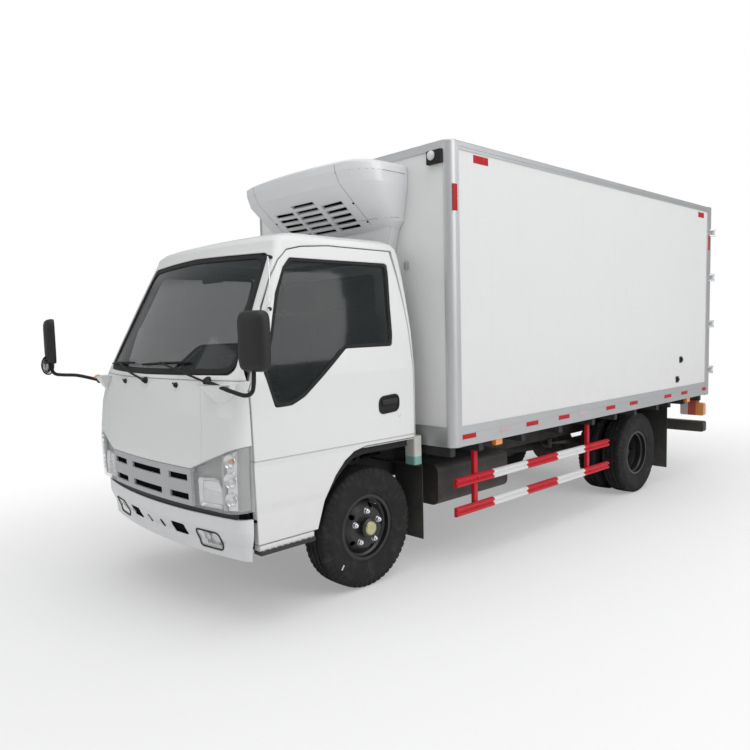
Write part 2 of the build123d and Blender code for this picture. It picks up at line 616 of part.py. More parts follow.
# ---------------------------------------------------------------- front axle, springs, rear axle
AXLE_Z = TYRE_RADIUS
BEAM_DROP = (262.0, 335.0)
FRONT_SEAT_Z = 352.0
EYE_HEIGHT = 90.0
EYE_RADIUS = 32.0
with BuildPart() as front_axle:
    with BuildSketch(Plane.XZ.offset(-back(-32))) as beam:
        with BuildLine():
            Polyline(
                (-KINGPIN_X, AXLE_Z + 40), (-KINGPIN_X + 70, AXLE_Z + 25), (-SPRING_X - 60, FRONT_SEAT_Z),
                (-SPRING_X + 60, FRONT_SEAT_Z), (-200, BEAM_DROP[1]), (200, BEAM_DROP[1]),
                (SPRING_X - 60, FRONT_SEAT_Z), (SPRING_X + 60, FRONT_SEAT_Z), (KINGPIN_X - 70, AXLE_Z + 25),
                (KINGPIN_X, AXLE_Z + 40), (KINGPIN_X, AXLE_Z - 40), (KINGPIN_X - 70, AXLE_Z - 40),
                (SPRING_X + 40, BEAM_DROP[0] + 20), (200, BEAM_DROP[0]), (-200, BEAM_DROP[0]),
                (-SPRING_X - 40, BEAM_DROP[0] + 20), (-KINGPIN_X + 70, AXLE_Z - 40), (-KINGPIN_X, AXLE_Z - 40),
                close=True,
            )
        make_face()
    extrude(beam.sketch, amount=-64)
    for side in (-1, 1):
        rod((side * KINGPIN_X, 0, AXLE_Z - EYE_HEIGHT / 2), (0, 0, 1), EYE_HEIGHT, EYE_RADIUS)
        rod((side * KINGPIN_X, 0, AXLE_Z - EYE_HEIGHT), (0, 0, 1), 2 * EYE_HEIGHT,
            KINGPIN_RADIUS + SHAFT_CLEARANCE, mode=Mode.SUBTRACT)
finish(front_axle.part, "front_axle")


def spring_pack(y_span, seat_z, thickness, leaves):
    """One leaf spring of stacked leaves, eyes at both ends, seated at seat_z."""
    centre = middle(y_span)
    half = (y_span[1] - y_span[0]) / 2
    rise = SPRING_EYE_Z - SPRING_EYE_RADIUS - seat_z
    with BuildPart() as pack:
        for leaf in range(leaves):
            reach = half * (1.0 - 0.8 * leaf / leaves)
            top = seat_z + thickness * (leaves - leaf) / leaves
            lift = rise * (reach / half) ** 2
            with BuildSketch(Plane.YZ.offset(-SPRING_WIDTH / 2)) as blade:
                with BuildLine():
                    low = top - thickness / leaves
                    ThreePointArc((back(centre - reach), low + lift), (back(centre), low), (back(centre + reach), low + lift))
                    Line((back(centre + reach), low + lift), (back(centre + reach), top + lift))
                    ThreePointArc((back(centre + reach), top + lift), (back(centre), top), (back(centre - reach), top + lift))
                    Line((back(centre - reach), top + lift), (back(centre - reach), low + lift))
                make_face()
            extrude(blade.sketch, amount=SPRING_WIDTH)
        for end in y_span:
            rod((-SPRING_WIDTH / 2, end, SPRING_EYE_Z), (1, 0, 0), SPRING_WIDTH, SPRING_EYE_RADIUS)
            rod((-SPRING_WIDTH / 2, end, SPRING_EYE_Z), (1, 0, 0), SPRING_WIDTH, SPRING_PIN_RADIUS + SHAFT_CLEARANCE,
                mode=Mode.SUBTRACT)
    return pack.part


REAR_TUBE_RADIUS = 48.0
REAR_SEAT_Z = REAR_AXLE_Z + REAR_TUBE_RADIUS + 8.0
front_pack = spring_pack(FRONT_SPRING, FRONT_SEAT_Z, 48.0, 4)
rear_pack = spring_pack(REAR_SPRING, REAR_SEAT_Z, 44.0, 4)
with BuildPart() as leaf_springs:
    for side in (-1, 1):
        with Locations((side * SPRING_X, 0, 0)):
            add(front_pack)
            add(rear_pack)
finish(leaf_springs.part, "leaf_springs")

HUB_START = 548.0
REAR_SPINDLE_RADIUS = 30.0
REAR_SPINDLE_END = 800.0
with BuildPart() as rear_axle:
    rod((-HUB_START, WHEELBASE, REAR_AXLE_Z), (1, 0, 0), 2 * HUB_START, REAR_TUBE_RADIUS)
    rod((-REAR_SPINDLE_END, WHEELBASE, REAR_AXLE_Z), (1, 0, 0), 2 * REAR_SPINDLE_END, REAR_SPINDLE_RADIUS)
    rod((0, DIFFERENTIAL_FRONT + 100, REAR_AXLE_Z), (0, 1, 0), 260.0, 165.0)
    rod((0, DIFFERENTIAL_FRONT, REAR_AXLE_Z), (0, 1, 0), 110.0, 70.0)
    with Locations((0, back(WHEELBASE + 130), REAR_AXLE_Z)):
        Sphere(120)
    for side in (-1, 1):
        block(sorted((side * (SPRING_X - 42), side * (SPRING_X + 42))), (WHEELBASE - 55, WHEELBASE + 55),
              (REAR_AXLE_Z, REAR_SEAT_Z))
        rod((side * (HUB_START - 6), WHEELBASE, REAR_AXLE_Z), (side, 0, 0), 8.0, DRUM_RADIUS + 5)
finish(rear_axle.part, "rear_axle")

# ---------------------------------------------------------------- knuckles and tie rod
YOKE_GAP = 1.0
YOKE_LUG = 26.0
FRONT_BACKPLATE_X = 652.0
FRONT_SPINDLE_END = 772.0
# both arms lie straight back, so the tie rod stays parallel to the axle at every angle
ARM_END = (0.0, STEERING_ARM)
BALL_PIN = 9.0
with BuildPart() as knuckle_left:
    rod((KINGPIN_X, 0, AXLE_Z - EYE_HEIGHT / 2 - YOKE_LUG), (0, 0, 1), EYE_HEIGHT + 2 * YOKE_LUG, KINGPIN_RADIUS)
    for z in (AXLE_Z + EYE_HEIGHT / 2 + YOKE_GAP, AXLE_Z - EYE_HEIGHT / 2 - YOKE_GAP - YOKE_LUG):
        rod((KINGPIN_X, 0, z), (0, 0, 1), YOKE_LUG, EYE_RADIUS)
        block((KINGPIN_X, FRONT_BACKPLATE_X), (-30, 30), (z, z + YOKE_LUG))
    block((KINGPIN_X + EYE_RADIUS + 6, FRONT_BACKPLATE_X), (-38, 38),
          (AXLE_Z - EYE_HEIGHT / 2 - YOKE_LUG, AXLE_Z + EYE_HEIGHT / 2 + YOKE_LUG))
    rod((FRONT_BACKPLATE_X - 4, 0, AXLE_Z), (1, 0, 0), 8.0, DRUM_RADIUS + 5)
    rod((FRONT_BACKPLATE_X, 0, AXLE_Z), (1, 0, 0), FRONT_SPINDLE_END - FRONT_BACKPLATE_X, SPINDLE_RADIUS)
    # steering arm with its ball pin
    arm_top = AXLE_Z - EYE_HEIGHT / 2 - YOKE_GAP
    with BuildSketch(Plane.XY.offset(arm_top - YOKE_LUG)) as arm:
        with BuildLine():
            Polyline(
                (KINGPIN_X - 20, back(0)), (KINGPIN_X + ARM_END[0] - 14, back(ARM_END[1] + 14)),
                (KINGPIN_X + ARM_END[0] + 14, back(ARM_END[1] + 14)), (KINGPIN_X + 24, back(0)), close=True,
            )
        make_face()
    extrude(arm.sketch, amount=20.0)
    rod((KINGPIN_X + ARM_END[0], ARM_END[1], TIE_ROD_Z - 16), (0, 0, 1), arm_top - YOKE_LUG - TIE_ROD_Z + 18, BALL_PIN)
finish(knuckle_left.part, "knuckle_left")
with BuildPart() as knuckle_right:
    mirror(knuckle_left.part, about=Plane.YZ)
finish(knuckle_right.part, "knuckle_right")

tie_x = KINGPIN_X + ARM_END[0]
with BuildPart() as tie_rod:
    rod((-tie_x, ARM_END[1], TIE_ROD_Z), (1, 0, 0), 2 * tie_x, 13.0)
    for side in (-1, 1):
        rod((side * tie_x, ARM_END[1], TIE_ROD_Z - 14), (0, 0, 1), 28.0, 22.0)
        rod((side * tie_x, ARM_END[1], TIE_ROD_Z - 20), (0, 0, 1), 50.0, BALL_PIN + SHAFT_CLEARANCE,
            mode=Mode.SUBTRACT)
finish(tie_rod.part, "tie_rod")

# ---------------------------------------------------------------- wheels and tyres
RIM_PLATE = 6.0
RIM_WELL = 14.0
DISC_PLATE = 10.0
DISC_FACE = 70.0
HUB_RADIUS = 78.0
CAP_RADIUS = 62.0
FRONT_DRUM_START = FRONT_BACKPLATE_X + 5.0
FRONT_DRUM_END = 725.0
REAR_DRUM_START = HUB_START + 5.0
REAR_DRUM_END = 650.0
HAND_HOLE_CIRCLE = 137.0
HAND_HOLE_RADIUS = 17.0
TYRE_SEAT = 0.3


def turned(points, behind):
    """A solid turned about a wheel's axis from (x, radius) points."""
    centre = (0, back(behind), TYRE_RADIUS)
    with BuildSketch(Plane(origin=centre, x_dir=(1, 0, 0), z_dir=(0, -1, 0))) as profile:
        with BuildLine():
            Polyline(points, close=True)
        make_face()
    revolve(profile.sketch, axis=Axis(centre, (1, 0, 0)))


def rim_points(x):
    """The rim's section about the wheel's middle plane at x."""
    half = RIM_WIDTH / 2
    outer = [
        (-half, RIM_RADIUS + RIM_FLANGE), (-half + RIM_PLATE, RIM_RADIUS + RIM_FLANGE),
        (-half + RIM_PLATE, RIM_RADIUS), (-40, RIM_RADIUS), (-32, RIM_RADIUS - RIM_WELL),
        (32, RIM_RADIUS - RIM_WELL), (40, RIM_RADIUS), (half - RIM_PLATE, RIM_RADIUS),
        (half - RIM_PLATE, RIM_RADIUS + RIM_FLANGE), (half, RIM_RADIUS + RIM_FLANGE),
    ]
    inner = [
        (half, RIM_RADIUS - RIM_PLATE), (44, RIM_RADIUS - RIM_PLATE), (36, RIM_RADIUS - RIM_WELL - RIM_PLATE),
        (-36, RIM_RADIUS - RIM_WELL - RIM_PLATE), (-44, RIM_RADIUS - RIM_PLATE), (-half, RIM_RADIUS - RIM_PLATE),
    ]
    return [(x + u, r) for u, r in outer + inner]


def tyre_points(x):
    """The tyre's section about the wheel's middle plane at x."""
    bead = RIM_WIDTH / 2 - RIM_PLATE - TYRE_SEAT
    half = TYRE_WIDTH / 2
    right = [
        (bead, RIM_RADIUS + TYRE_SEAT), (bead, RIM_RADIUS + RIM_FLANGE + 2), (half - 4, RIM_RADIUS + 58),
        (half, RIM_RADIUS + 108), (half - 8, TYRE_RADIUS - 28), (half - 24, TYRE_RADIUS),
    ]
    return [(x + u, r) for u, r in right] + [(x - u, r) for u, r in reversed(right)]


well_inner = RIM_RADIUS - RIM_WELL - RIM_PLATE / 2
with BuildPart() as wheel_front_left:
    turned(rim_points(FRONT_WHEEL_X), 0)
    x = FRONT_WHEEL_X
    turned(
        [
            (x + DISC_FACE - DISC_PLATE, HUB_RADIUS - 10), (x + DISC_FACE, HUB_RADIUS - 10), (x + DISC_FACE, 128),
            (x + 32, well_inner), (x + 20, well_inner), (x + DISC_FACE - DISC_PLATE, 118),
        ],
        0,
    )
    bore = SPINDLE_RADIUS + SHAFT_CLEARANCE
    turned(
        [
            (FRONT_DRUM_START, bore), (FRONT_DRUM_START, DRUM_RADIUS), (FRONT_DRUM_END, DRUM_RADIUS),
            (FRONT_DRUM_END, HUB_RADIUS), (x + DISC_FACE, HUB_RADIUS), (x + DISC_FACE, CAP_RADIUS),
            (x + 104, CAP_RADIUS), (x + 112, 42), (x + 118, 42), (x + 118, 0),
            (FRONT_SPINDLE_END + 2, 0), (FRONT_SPINDLE_END + 2, bore),
        ],
        0,
    )
    with Locations(Plane(origin=(x + DISC_FACE - 34, back(0), TYRE_RADIUS), z_dir=(1, 0, 0))):
        with PolarLocations(HAND_HOLE_CIRCLE, STUD_COUNT, start_angle=90.0 + 180.0 / STUD_COUNT):
            Cylinder(HAND_HOLE_RADIUS, 60, align=(Align.CENTER, Align.CENTER, Align.MIN), mode=Mode.SUBTRACT)
finish(wheel_front_left.part, "wheel_front_left")
with BuildPart() as wheel_front_right:
    mirror(wheel_front_left.part, about=Plane.YZ)
finish(wheel_front_right.part, "wheel_front_right")

rear_middle = (REAR_INNER_X + REAR_OUTER_X) / 2
with BuildPart() as wheel_rear_left:
    for x, out in ((REAR_INNER_X, -1), (REAR_OUTER_X, 1)):
        turned(rim_points(x), WHEELBASE)
        reach = abs(x - rear_middle)
        turned(
            [
                (rear_middle, HUB_RADIUS - 10), (rear_middle + out * DISC_PLATE, HUB_RADIUS - 10),
                (rear_middle + out * DISC_PLATE, 138), (rear_middle + out * (reach - 18), well_inner - 8),
                (rear_middle + out * (reach - 18), well_inner), (rear_middle + out * (reach - 30), well_inner),
                (rear_middle, 148),
            ],
            WHEELBASE,
        )
    bore = REAR_SPINDLE_RADIUS + SHAFT_CLEARANCE
    turned(
        [
            (REAR_DRUM_START, bore), (REAR_DRUM_START, DRUM_RADIUS), (REAR_DRUM_END, DRUM_RADIUS),
            (REAR_DRUM_END + 30, HUB_RADIUS), (rear_middle + DISC_PLATE, HUB_RADIUS),
            (rear_middle + DISC_PLATE, CAP_RADIUS), (REAR_SPINDLE_END + 6, CAP_RADIUS - 4),
            (REAR_SPINDLE_END + 16, 40), (REAR_SPINDLE_END + 16, 0), (REAR_SPINDLE_END + 2, 0),
            (REAR_SPINDLE_END + 2, bore),
        ],
        WHEELBASE,
    )
    with Locations(Plane(origin=(rear_middle + 8, back(WHEELBASE), TYRE_RADIUS), z_dir=(1, 0, 0))):
        with PolarLocations(HAND_HOLE_CIRCLE + 12, STUD_COUNT, start_angle=90.0 + 180.0 / STUD_COUNT):
            Cylinder(HAND_HOLE_RADIUS - 4, 60, align=(Align.CENTER, Align.CENTER, Align.MIN), mode=Mode.SUBTRACT)
finish(wheel_rear_left.part, "wheel_rear_left")
with BuildPart() as wheel_rear_right:
    mirror(wheel_rear_left.part, about=Plane.YZ)
finish(wheel_rear_right.part, "wheel_rear_right")

for name, side, behind, places in (
    ("tyre_front_left", 1, 0.0, (FRONT_WHEEL_X,)),
    ("tyre_front_right", -1, 0.0, (FRONT_WHEEL_X,)),
    ("tyres_rear_left", 1, WHEELBASE, (REAR_INNER_X, REAR_OUTER_X)),
    ("tyres_rear_right", -1, WHEELBASE, (REAR_INNER_X, REAR_OUTER_X)),
):
    with BuildPart() as tyre:
        for x in places:
            turned(tyre_points(side * x), behind)
    finish(tyre.part, name)

# ---------------------------------------------------------------- front bumper
# z, half width, front on the centre line, bow, corner radius
BUMPER_ROWS = (
    (390.0, 838.0, -980.0, 92.0, 84.0),
    (470.0, 842.0, -990.0, 96.0, 88.0),
    (500.0, 844.0, -1008.0, 100.0, 90.0),
    (550.0, 845.0, -1028.0, 102.0, 90.0),
    (622.0, 845.0, -1030.0, 102.0, 90.0),
    (623.0, 836.0, -1019.0, 100.0, 84.0),
    (655.0, 834.0, -1017.0, 100.0, 84.0),
)
BUMPER_END = -872.0
BUMPER_PLATE = 5.0
BUMPER_TOP = 655.0
BUMPER_SHOULDER = 622.0
LEDGE_REACH = 785.0
BUMPER_BOTTOM = 390.0


def bumper_form(inset):
    """The bumper's outer form, or one lying inset inside it."""
    with BuildPart() as form:
        for z, half_width, front, bow, corner in BUMPER_ROWS:
            side = half_width - inset
            corner_y = back(front + bow + inset)
            drop = inset if z > 600.0 else 0.0
            with BuildSketch(Plane.XY.offset(z - drop)) as row:
                with BuildLine():
                    Line((-side, back(-700)), (-side, corner_y))
                    ThreePointArc((-side, corner_y), (0, back(front + inset)), (side, corner_y))
                    Line((side, corner_y), (side, back(-700)))
                    Line((side, back(-700)), (-side, back(-700)))
                make_face()
                fillet(row.vertices().sort_by(Axis.Y)[:2], corner - inset)
        loft(ruled=True)
    return form.part


bumper_outer = bumper_form(0.0)
bumper_inner = bumper_form(BUMPER_PLATE)
lamp_back = bumper_form(34.0)
RECESS = ((200.0, 340.0), (462.0, 530.0))
TOW_SLOT = ((60.0, 100.0), (465.0, 515.0))
FOG_LAMP = ((452.0, 632.0), (432.0, 522.0))
BRACKET_X = (296.0, 344.0)


def round_window(x_span, z_span, corner, clearance=0.0):
    """Both sides' outlines of a rounded hole, as a prism through the bumper."""
    for side in (-1, 1):
        with BuildSketch(Plane.XZ.offset(-back(-1100))) as hole:
            with Locations((side * middle(x_span), middle(z_span))):
                RectangleRounded(x_span[1] - x_span[0] - 2 * clearance, z_span[1] - z_span[0] - 2 * clearance, corner)
        extrude(hole.sketch, amount=-220.0)


with BuildPart() as bumper_holes:
    round_window(*RECESS, 14.0)
    round_window(*TOW_SLOT, 18.0)
    round_window(*FOG_LAMP, 24.0)
with BuildPart() as bumper:
    add(bumper_outer)
    add(bumper_inner, mode=Mode.SUBTRACT)
    block((-900, 900), (-1100, -800), (BUMPER_TOP - BUMPER_PLATE - 0.5, BUMPER_TOP + 5), mode=Mode.SUBTRACT)
    block((-900, 900), (BUMPER_END, -600), (300, 700), mode=Mode.SUBTRACT)
    # the ledge stops short of the doors, which pass over it as the cab tilts
    for side in (-1, 1):
        block(sorted((side * LEDGE_REACH, side * 900.0)), (-1100, -800), (BUMPER_SHOULDER, 700), mode=Mode.SUBTRACT)
    add(bumper_holes.part, mode=Mode.SUBTRACT)
    for side in (-1, 1):
        block(sorted((side * BRACKET_X[0], side * BRACKET_X[1])), (-1012, RAIL_FRONT), (540, 610))
with BuildPart() as bumper_whole:
    add(bumper.part)
finish(bumper_whole.part, "bumper")
with BuildPart() as fog_lamps:
    round_window(*FOG_LAMP, 24.0, SEAT_GAP)
    add(bumper_form(2.0), mode=Mode.INTERSECT)
    add(lamp_back, mode=Mode.SUBTRACT)
finish(fog_lamps.part, "fog_lamps")

# ---------------------------------------------------------------- subframe and what hangs from it
BEARER_TOP = BOX_BOTTOM
BEARER_BOTTOM = 760.0
BEARER_HALF_WIDTH = 1000.0
CROSS_BEARERS = (560.0, 858.0, 1360.0, 1866.0, 2374.0, 2760.0, 3130.0, 3590.0, 3860.0, 4200.0, 4605.0)
GUARD_POSTS = (858.0, 2374.0)
with BuildPart() as subframe:
    for side in (-1, 1):
        block(sorted((side * 300.0, side * RAIL_OUTER_X)), (540, 4640), (RAIL_TOP, BEARER_BOTTOM))
    for y in CROSS_BEARERS:
        block((-BEARER_HALF_WIDTH, BEARER_HALF_WIDTH), (y - 25, y + 25), (BEARER_BOTTOM, BEARER_TOP))
finish(subframe.part, "subframe")

GUARD_SPAN = (620.0, 2680.0)
GUARD_UPPER = (
    (955.0, 536.0), (972.0, 536.0), (985.0, 546.0), (985.0, 554.0), (972.0, 562.0), (972.0, 573.0),
    (985.0, 581.0), (985.0, 589.0), (972.0, 599.0), (955.0, 599.0),
)
GUARD_LOWER = ((955.0, 352.0), (980.0, 352.0), (980.0, 388.0), (955.0, 388.0))
with BuildPart() as side_guards:
    for side in (-1, 1):
        for profile in (GUARD_UPPER, GUARD_LOWER):
            front_prism([(side * x, z) for x, z in profile], *GUARD_SPAN)
        for y in GUARD_POSTS:
            block(sorted((side * 925.0, side * 955.0)), (y - 20, y + 20), (352, BEARER_BOTTOM))
finish(side_guards.part, "side_guards")

REAR_BAR = ((4660.0, 4740.0), (420.0, 530.0))
with BuildPart() as rear_bumper:
    with BuildSketch(Plane.XZ.offset(-back(REAR_BAR[0][0]))) as bar:
        with Locations((0, middle(REAR_BAR[1]))):
            RectangleRounded(2040, REAR_BAR[1][1] - REAR_BAR[1][0], 22)
    extrude(bar.sketch, amount=-(REAR_BAR[0][1] - REAR_BAR[0][0]))
    for side in (-1, 1):
        block(sorted((side * BRACKET_X[0], side * BRACKET_X[1])), (4500, REAR_BAR[0][0] + 5), (450, RAIL_BOTTOM))
finish(rear_bumper.part, "rear_bumper")

with BuildPart() as tail_lamps:
    for side in (-1, 1):
        block(sorted((side * 800.0, side * 990.0)), (4612, 4628), (700, BEARER_BOTTOM))
        with BuildSketch(Plane.XZ.offset(-back(4610))) as lamp:
            with Locations((side * 918.0, 665)):
                RectangleRounded(240, 130, 18)
        extrude(lamp.sketch, amount=-50)
finish(tail_lamps.part, "tail_lamps")

FLAP_BRACKET = (440.0, 465.0)
FLAP_BRACKET_REACH = 800.0
with BuildPart() as flap_brackets:
    for side in (-1, 1):
        block(sorted((side * RAIL_OUTER_X, side * FLAP_BRACKET_REACH)), FLAP_BRACKET, (RAIL_TOP - 12, RAIL_TOP))
finish(flap_brackets.part, "flap_brackets")

FLAP_PLATE = 6.0
with BuildPart() as mud_flaps:
    for side in (-1, 1):
        block(sorted((side * 565.0, side * 815.0)), (FLAP_BRACKET[1], FLAP_BRACKET[1] + FLAP_PLATE), (200, RAIL_TOP))
        block(sorted((side * 500.0, side * 980.0)), (3850, 3850 + FLAP_PLATE), (165, BEARER_BOTTOM))
finish(mud_flaps.part, "mud_flaps")

with BuildPart() as coolant_bottle:
    with BuildSketch(Plane.XY.offset(RAIL_TOP)) as foot:
        with Locations((750, back(455))):
            RectangleRounded(96, 70, 14)
    extrude(foot.sketch, amount=190)
    rod((735, 455, RAIL_TOP + 185), (0, 0, 1), 35, 20)
finish(coolant_bottle.part, "coolant_bottle")

TANK = ((420.0, 800.0), (640.0, 1440.0), (385.0, 665.0))
with BuildPart() as fuel_tank:
    with BuildSketch(Plane.XZ.offset(-back(TANK[1][0]))) as section:
        with Locations((middle(TANK[0]), middle(TANK[2]))):
            RectangleRounded(TANK[0][1] - TANK[0][0], TANK[2][1] - TANK[2][0], 55)
    extrude(section.sketch, amount=-(TANK[1][1] - TANK[1][0]))
    for y in (800.0, 1280.0):
        block((RAIL_OUTER_X, TANK[0][0] + 2), (y - 20, y + 20), (560, 620))
finish(fuel_tank.part, "fuel_tank")

BATTERY = ((-790.0, -420.0), (640.0, 1060.0), (430.0, 665.0))
with BuildPart() as battery_box:
    with BuildSketch(Plane.XZ.offset(-back(BATTERY[1][0]))) as section:
        with Locations((middle(BATTERY[0]), middle(BATTERY[2]))):
            RectangleRounded(BATTERY[0][1] - BATTERY[0][0], BATTERY[2][1] - BATTERY[2][0], 12)
    extrude(section.sketch, amount=-(BATTERY[1][1] - BATTERY[1][0]))
    for y in (720.0, 980.0):
        block((BATTERY[0][1] - 2, -RAIL_OUTER_X), (y - 20, y + 20), (560, 620))
finish(battery_box.part, "battery_box")

with BuildPart() as exhaust:
    rod((-530, 1300, 470), (0, 1, 0), 620, 105)
    rod((-530, 1180, 470), (0, 1, 0), 130, 26)
    rod((-530, 1900, 470), (0, 1, 0), 560, 26)
    for y in (1420.0, 1800.0):
        block((-480, -RAIL_OUTER_X), (y - 15, y + 15), (540, 570))
finish(exhaust.part, "exhaust")

# ---------------------------------------------------------------- insulated box
FLOOR_TOP = 902.0
ROOF_UNDER = 2670.0
PANEL_END = 4640.0
CORNER_ROUND = 56.0
RAIL_STRIP = 954.0
TOP_STRIP = 2702.0
ROOF_STRIP = 55.0
FRONT_POST_STRIP = 54.0
SIDE_POST_STRIP = 90.0
skin_x = BOX_HALF_WIDTH - TRIM_THICKNESS
skin_front = BOX_FRONT + TRIM_THICKNESS
skin_top = BOX_TOP - TRIM_THICKNESS


def box_form(half_width, front, bottom, top, corner):
    """An upright block with rounded front corners."""
    with BuildPart() as form:
        block((-half_width, half_width), (front, PANEL_END), (bottom, top))
        fillet(form.edges().filter_by(Axis.Z).sort_by(Axis.Y)[:2], corner)
    return form.part


box_skin = box_form(skin_x, skin_front, BOX_BOTTOM, skin_top, CORNER_ROUND - TRIM_THICKNESS)
with BuildPart() as box_body:
    add(box_skin)
    block((-skin_x + BOX_WALL, skin_x - BOX_WALL), (skin_front + BOX_WALL, PANEL_END), (FLOOR_TOP, ROOF_UNDER),
          mode=Mode.SUBTRACT)
finish(box_body.part, "box_body")

with BuildPart() as box_trim:
    add(box_form(BOX_HALF_WIDTH, BOX_FRONT, BOX_BOTTOM - 6, BOX_TOP, CORNER_ROUND))
    fillet(box_trim.edges().group_by(Axis.Z)[-1].sort_by(Axis.Y)[:-1], 10.0)
    block((-1100, 1100), (400, 4700), (BOX_BOTTOM - 10, BOX_BOTTOM), mode=Mode.SUBTRACT)
    add(box_skin, mode=Mode.SUBTRACT)
    # the skin shows between the rails and posts
    block((-1100, 1100), (BOX_FRONT + SIDE_POST_STRIP, 4700), (RAIL_STRIP, TOP_STRIP), mode=Mode.SUBTRACT)
    block((-BOX_HALF_WIDTH + FRONT_POST_STRIP, BOX_HALF_WIDTH - FRONT_POST_STRIP), (400, 700), (RAIL_STRIP, TOP_STRIP),
          mode=Mode.SUBTRACT)
    block((-BOX_HALF_WIDTH + ROOF_STRIP, BOX_HALF_WIDTH - ROOF_STRIP), (BOX_FRONT + ROOF_STRIP, 4700),
          (TOP_STRIP, 2800), mode=Mode.SUBTRACT)
    # side rails step in above and below their ridge
    for side in (-1, 1):
        for z_span in ((BOX_BOTTOM, 866), (902, RAIL_STRIP), (TOP_STRIP, 2722)):
            block(sorted((side * (skin_x + 5), side * 1100)), (BOX_FRONT + SIDE_POST_STRIP, 4700), z_span,
                  mode=Mode.SUBTRACT)
finish(box_trim.part, "box_trim")

FRAME_SILL_TOP = BOX_BOTTOM - 6 + REAR_SILL_HEIGHT
FRAME_HEADER_UNDER = BOX_TOP - REAR_HEADER_HEIGHT
post_x = BOX_HALF_WIDTH - REAR_POST_WIDTH
hinge_y = BOX_REAR + REAR_DOOR_HINGE_PROUD
KNUCKLE_HEIGHT = 40.0
KNUCKLE_GAP = 1.0
LUG_HEIGHT = 18.0
with BuildPart() as rear_frame:
    block((-BOX_HALF_WIDTH, BOX_HALF_WIDTH), (PANEL_END, BOX_REAR), (BOX_BOTTOM - 6, BOX_TOP))
    block((-post_x, post_x), (PANEL_END - 10, BOX_REAR + 10), (FRAME_SILL_TOP, FRAME_HEADER_UNDER), mode=Mode.SUBTRACT)
    for side in (-1, 1):
        for height in REAR_HINGE_HEIGHTS:
            low = height - KNUCKLE_HEIGHT / 2 - KNUCKLE_GAP - LUG_HEIGHT
            high = height + KNUCKLE_HEIGHT / 2 + KNUCKLE_GAP
            for z in (low, high):
                rod((side * REAR_DOOR_HINGE_X, hinge_y, z), (0, 0, 1), LUG_HEIGHT, REAR_HINGE_RADIUS)
                with BuildSketch(Plane.XY.offset(z)) as lug:
                    with BuildLine():
                        Polyline(
                            (side * (BOX_HALF_WIDTH - 20), back(BOX_REAR - 4)), (side * BOX_HALF_WIDTH, back(BOX_REAR - 24)),
                            (side * (REAR_DOOR_HINGE_X + 8), back(hinge_y - 7)), (side * (REAR_DOOR_HINGE_X - 8), back(hinge_y + 7)),
                            close=True,
                        )
                    make_face()
                extrude(lug.sketch, amount=LUG_HEIGHT)
            rod((side * REAR_DOOR_HINGE_X, hinge_y, low), (0, 0, 1), high + LUG_HEIGHT - low, REAR_HINGE_PIN)
finish(rear_frame.part, "rear_frame")

# ---------------------------------------------------------------- rear doors
DOOR_PANEL = ((4645.0, 4725.0), (FRAME_SILL_TOP + REAR_DOOR_GAP, FRAME_HEADER_UNDER - REAR_DOOR_GAP))
MEETING_GAP = 3.0
MEETING_TAPER = 11.0
STRAP_PLATE = 8.0
door_outer_y = DOOR_PANEL[0][1]
strap_y = hinge_y - REAR_HINGE_RADIUS
with BuildPart() as rear_door_left:
    with BuildSketch(Plane.XY.offset(DOOR_PANEL[1][0])) as panel:
        with BuildLine():
            Polyline(
                (MEETING_GAP, back(door_outer_y)), (post_x - REAR_DOOR_GAP, back(door_outer_y)),
                (post_x - REAR_DOOR_GAP, back(DOOR_PANEL[0][0])), (MEETING_GAP + MEETING_TAPER, back(DOOR_PANEL[0][0])),
                close=True,
            )
        make_face()
    extrude(panel.sketch, amount=DOOR_PANEL[1][1] - DOOR_PANEL[1][0])
    for height in REAR_HINGE_HEIGHTS:
        level = (height - KNUCKLE_HEIGHT / 2, height + KNUCKLE_HEIGHT / 2)
        block((800, 950), (door_outer_y, door_outer_y + STRAP_PLATE), level)
        block((950 - STRAP_PLATE, 950), (door_outer_y, strap_y + STRAP_PLATE), level)
        block((950 - STRAP_PLATE, REAR_DOOR_HINGE_X), (strap_y, strap_y + STRAP_PLATE), level)
        rod((REAR_DOOR_HINGE_X, hinge_y, level[0]), (0, 0, 1), KNUCKLE_HEIGHT, REAR_HINGE_RADIUS)
        rod((REAR_DOOR_HINGE_X, hinge_y, level[0] - 1), (0, 0, 1), KNUCKLE_HEIGHT + 2,
            REAR_HINGE_PIN + SHAFT_CLEARANCE, mode=Mode.SUBTRACT)
finish(rear_door_left.part, "rear_door_left")
with BuildPart() as rear_door_right:
    mirror(rear_door_left.part, about=Plane.YZ)
finish(rear_door_right.part, "rear_door_right")

LOCK_Y = door_outer_y + 22.0
LOCK_SPAN = (856.0, 2716.0)
LOCK_BRACKETS = (960.0, 1330.0, 1720.0, 2200.0, 2610.0)
HANDLE_Z = 1250.0
with BuildPart() as rear_locks_left:
    for x, out in zip(LOCK_ROD_X, (1, -1)):
        rod((x, LOCK_Y, LOCK_SPAN[0]), (0, 0, 1), LOCK_SPAN[1] - LOCK_SPAN[0], LOCK_ROD_RADIUS)
        for z in LOCK_BRACKETS:
            block((x - 30, x + 30), (door_outer_y, LOCK_Y + 4), (z - 20, z + 20))
        block(sorted((x, x + out * 210)), (LOCK_Y - 3, LOCK_Y + 7), (HANDLE_Z - 14, HANDLE_Z + 14))
finish(rear_locks_left.part, "rear_locks_left")
with BuildPart() as rear_locks_right:
    mirror(rear_locks_left.part, about=Plane.YZ)
finish(rear_locks_right.part, "rear_locks_right")

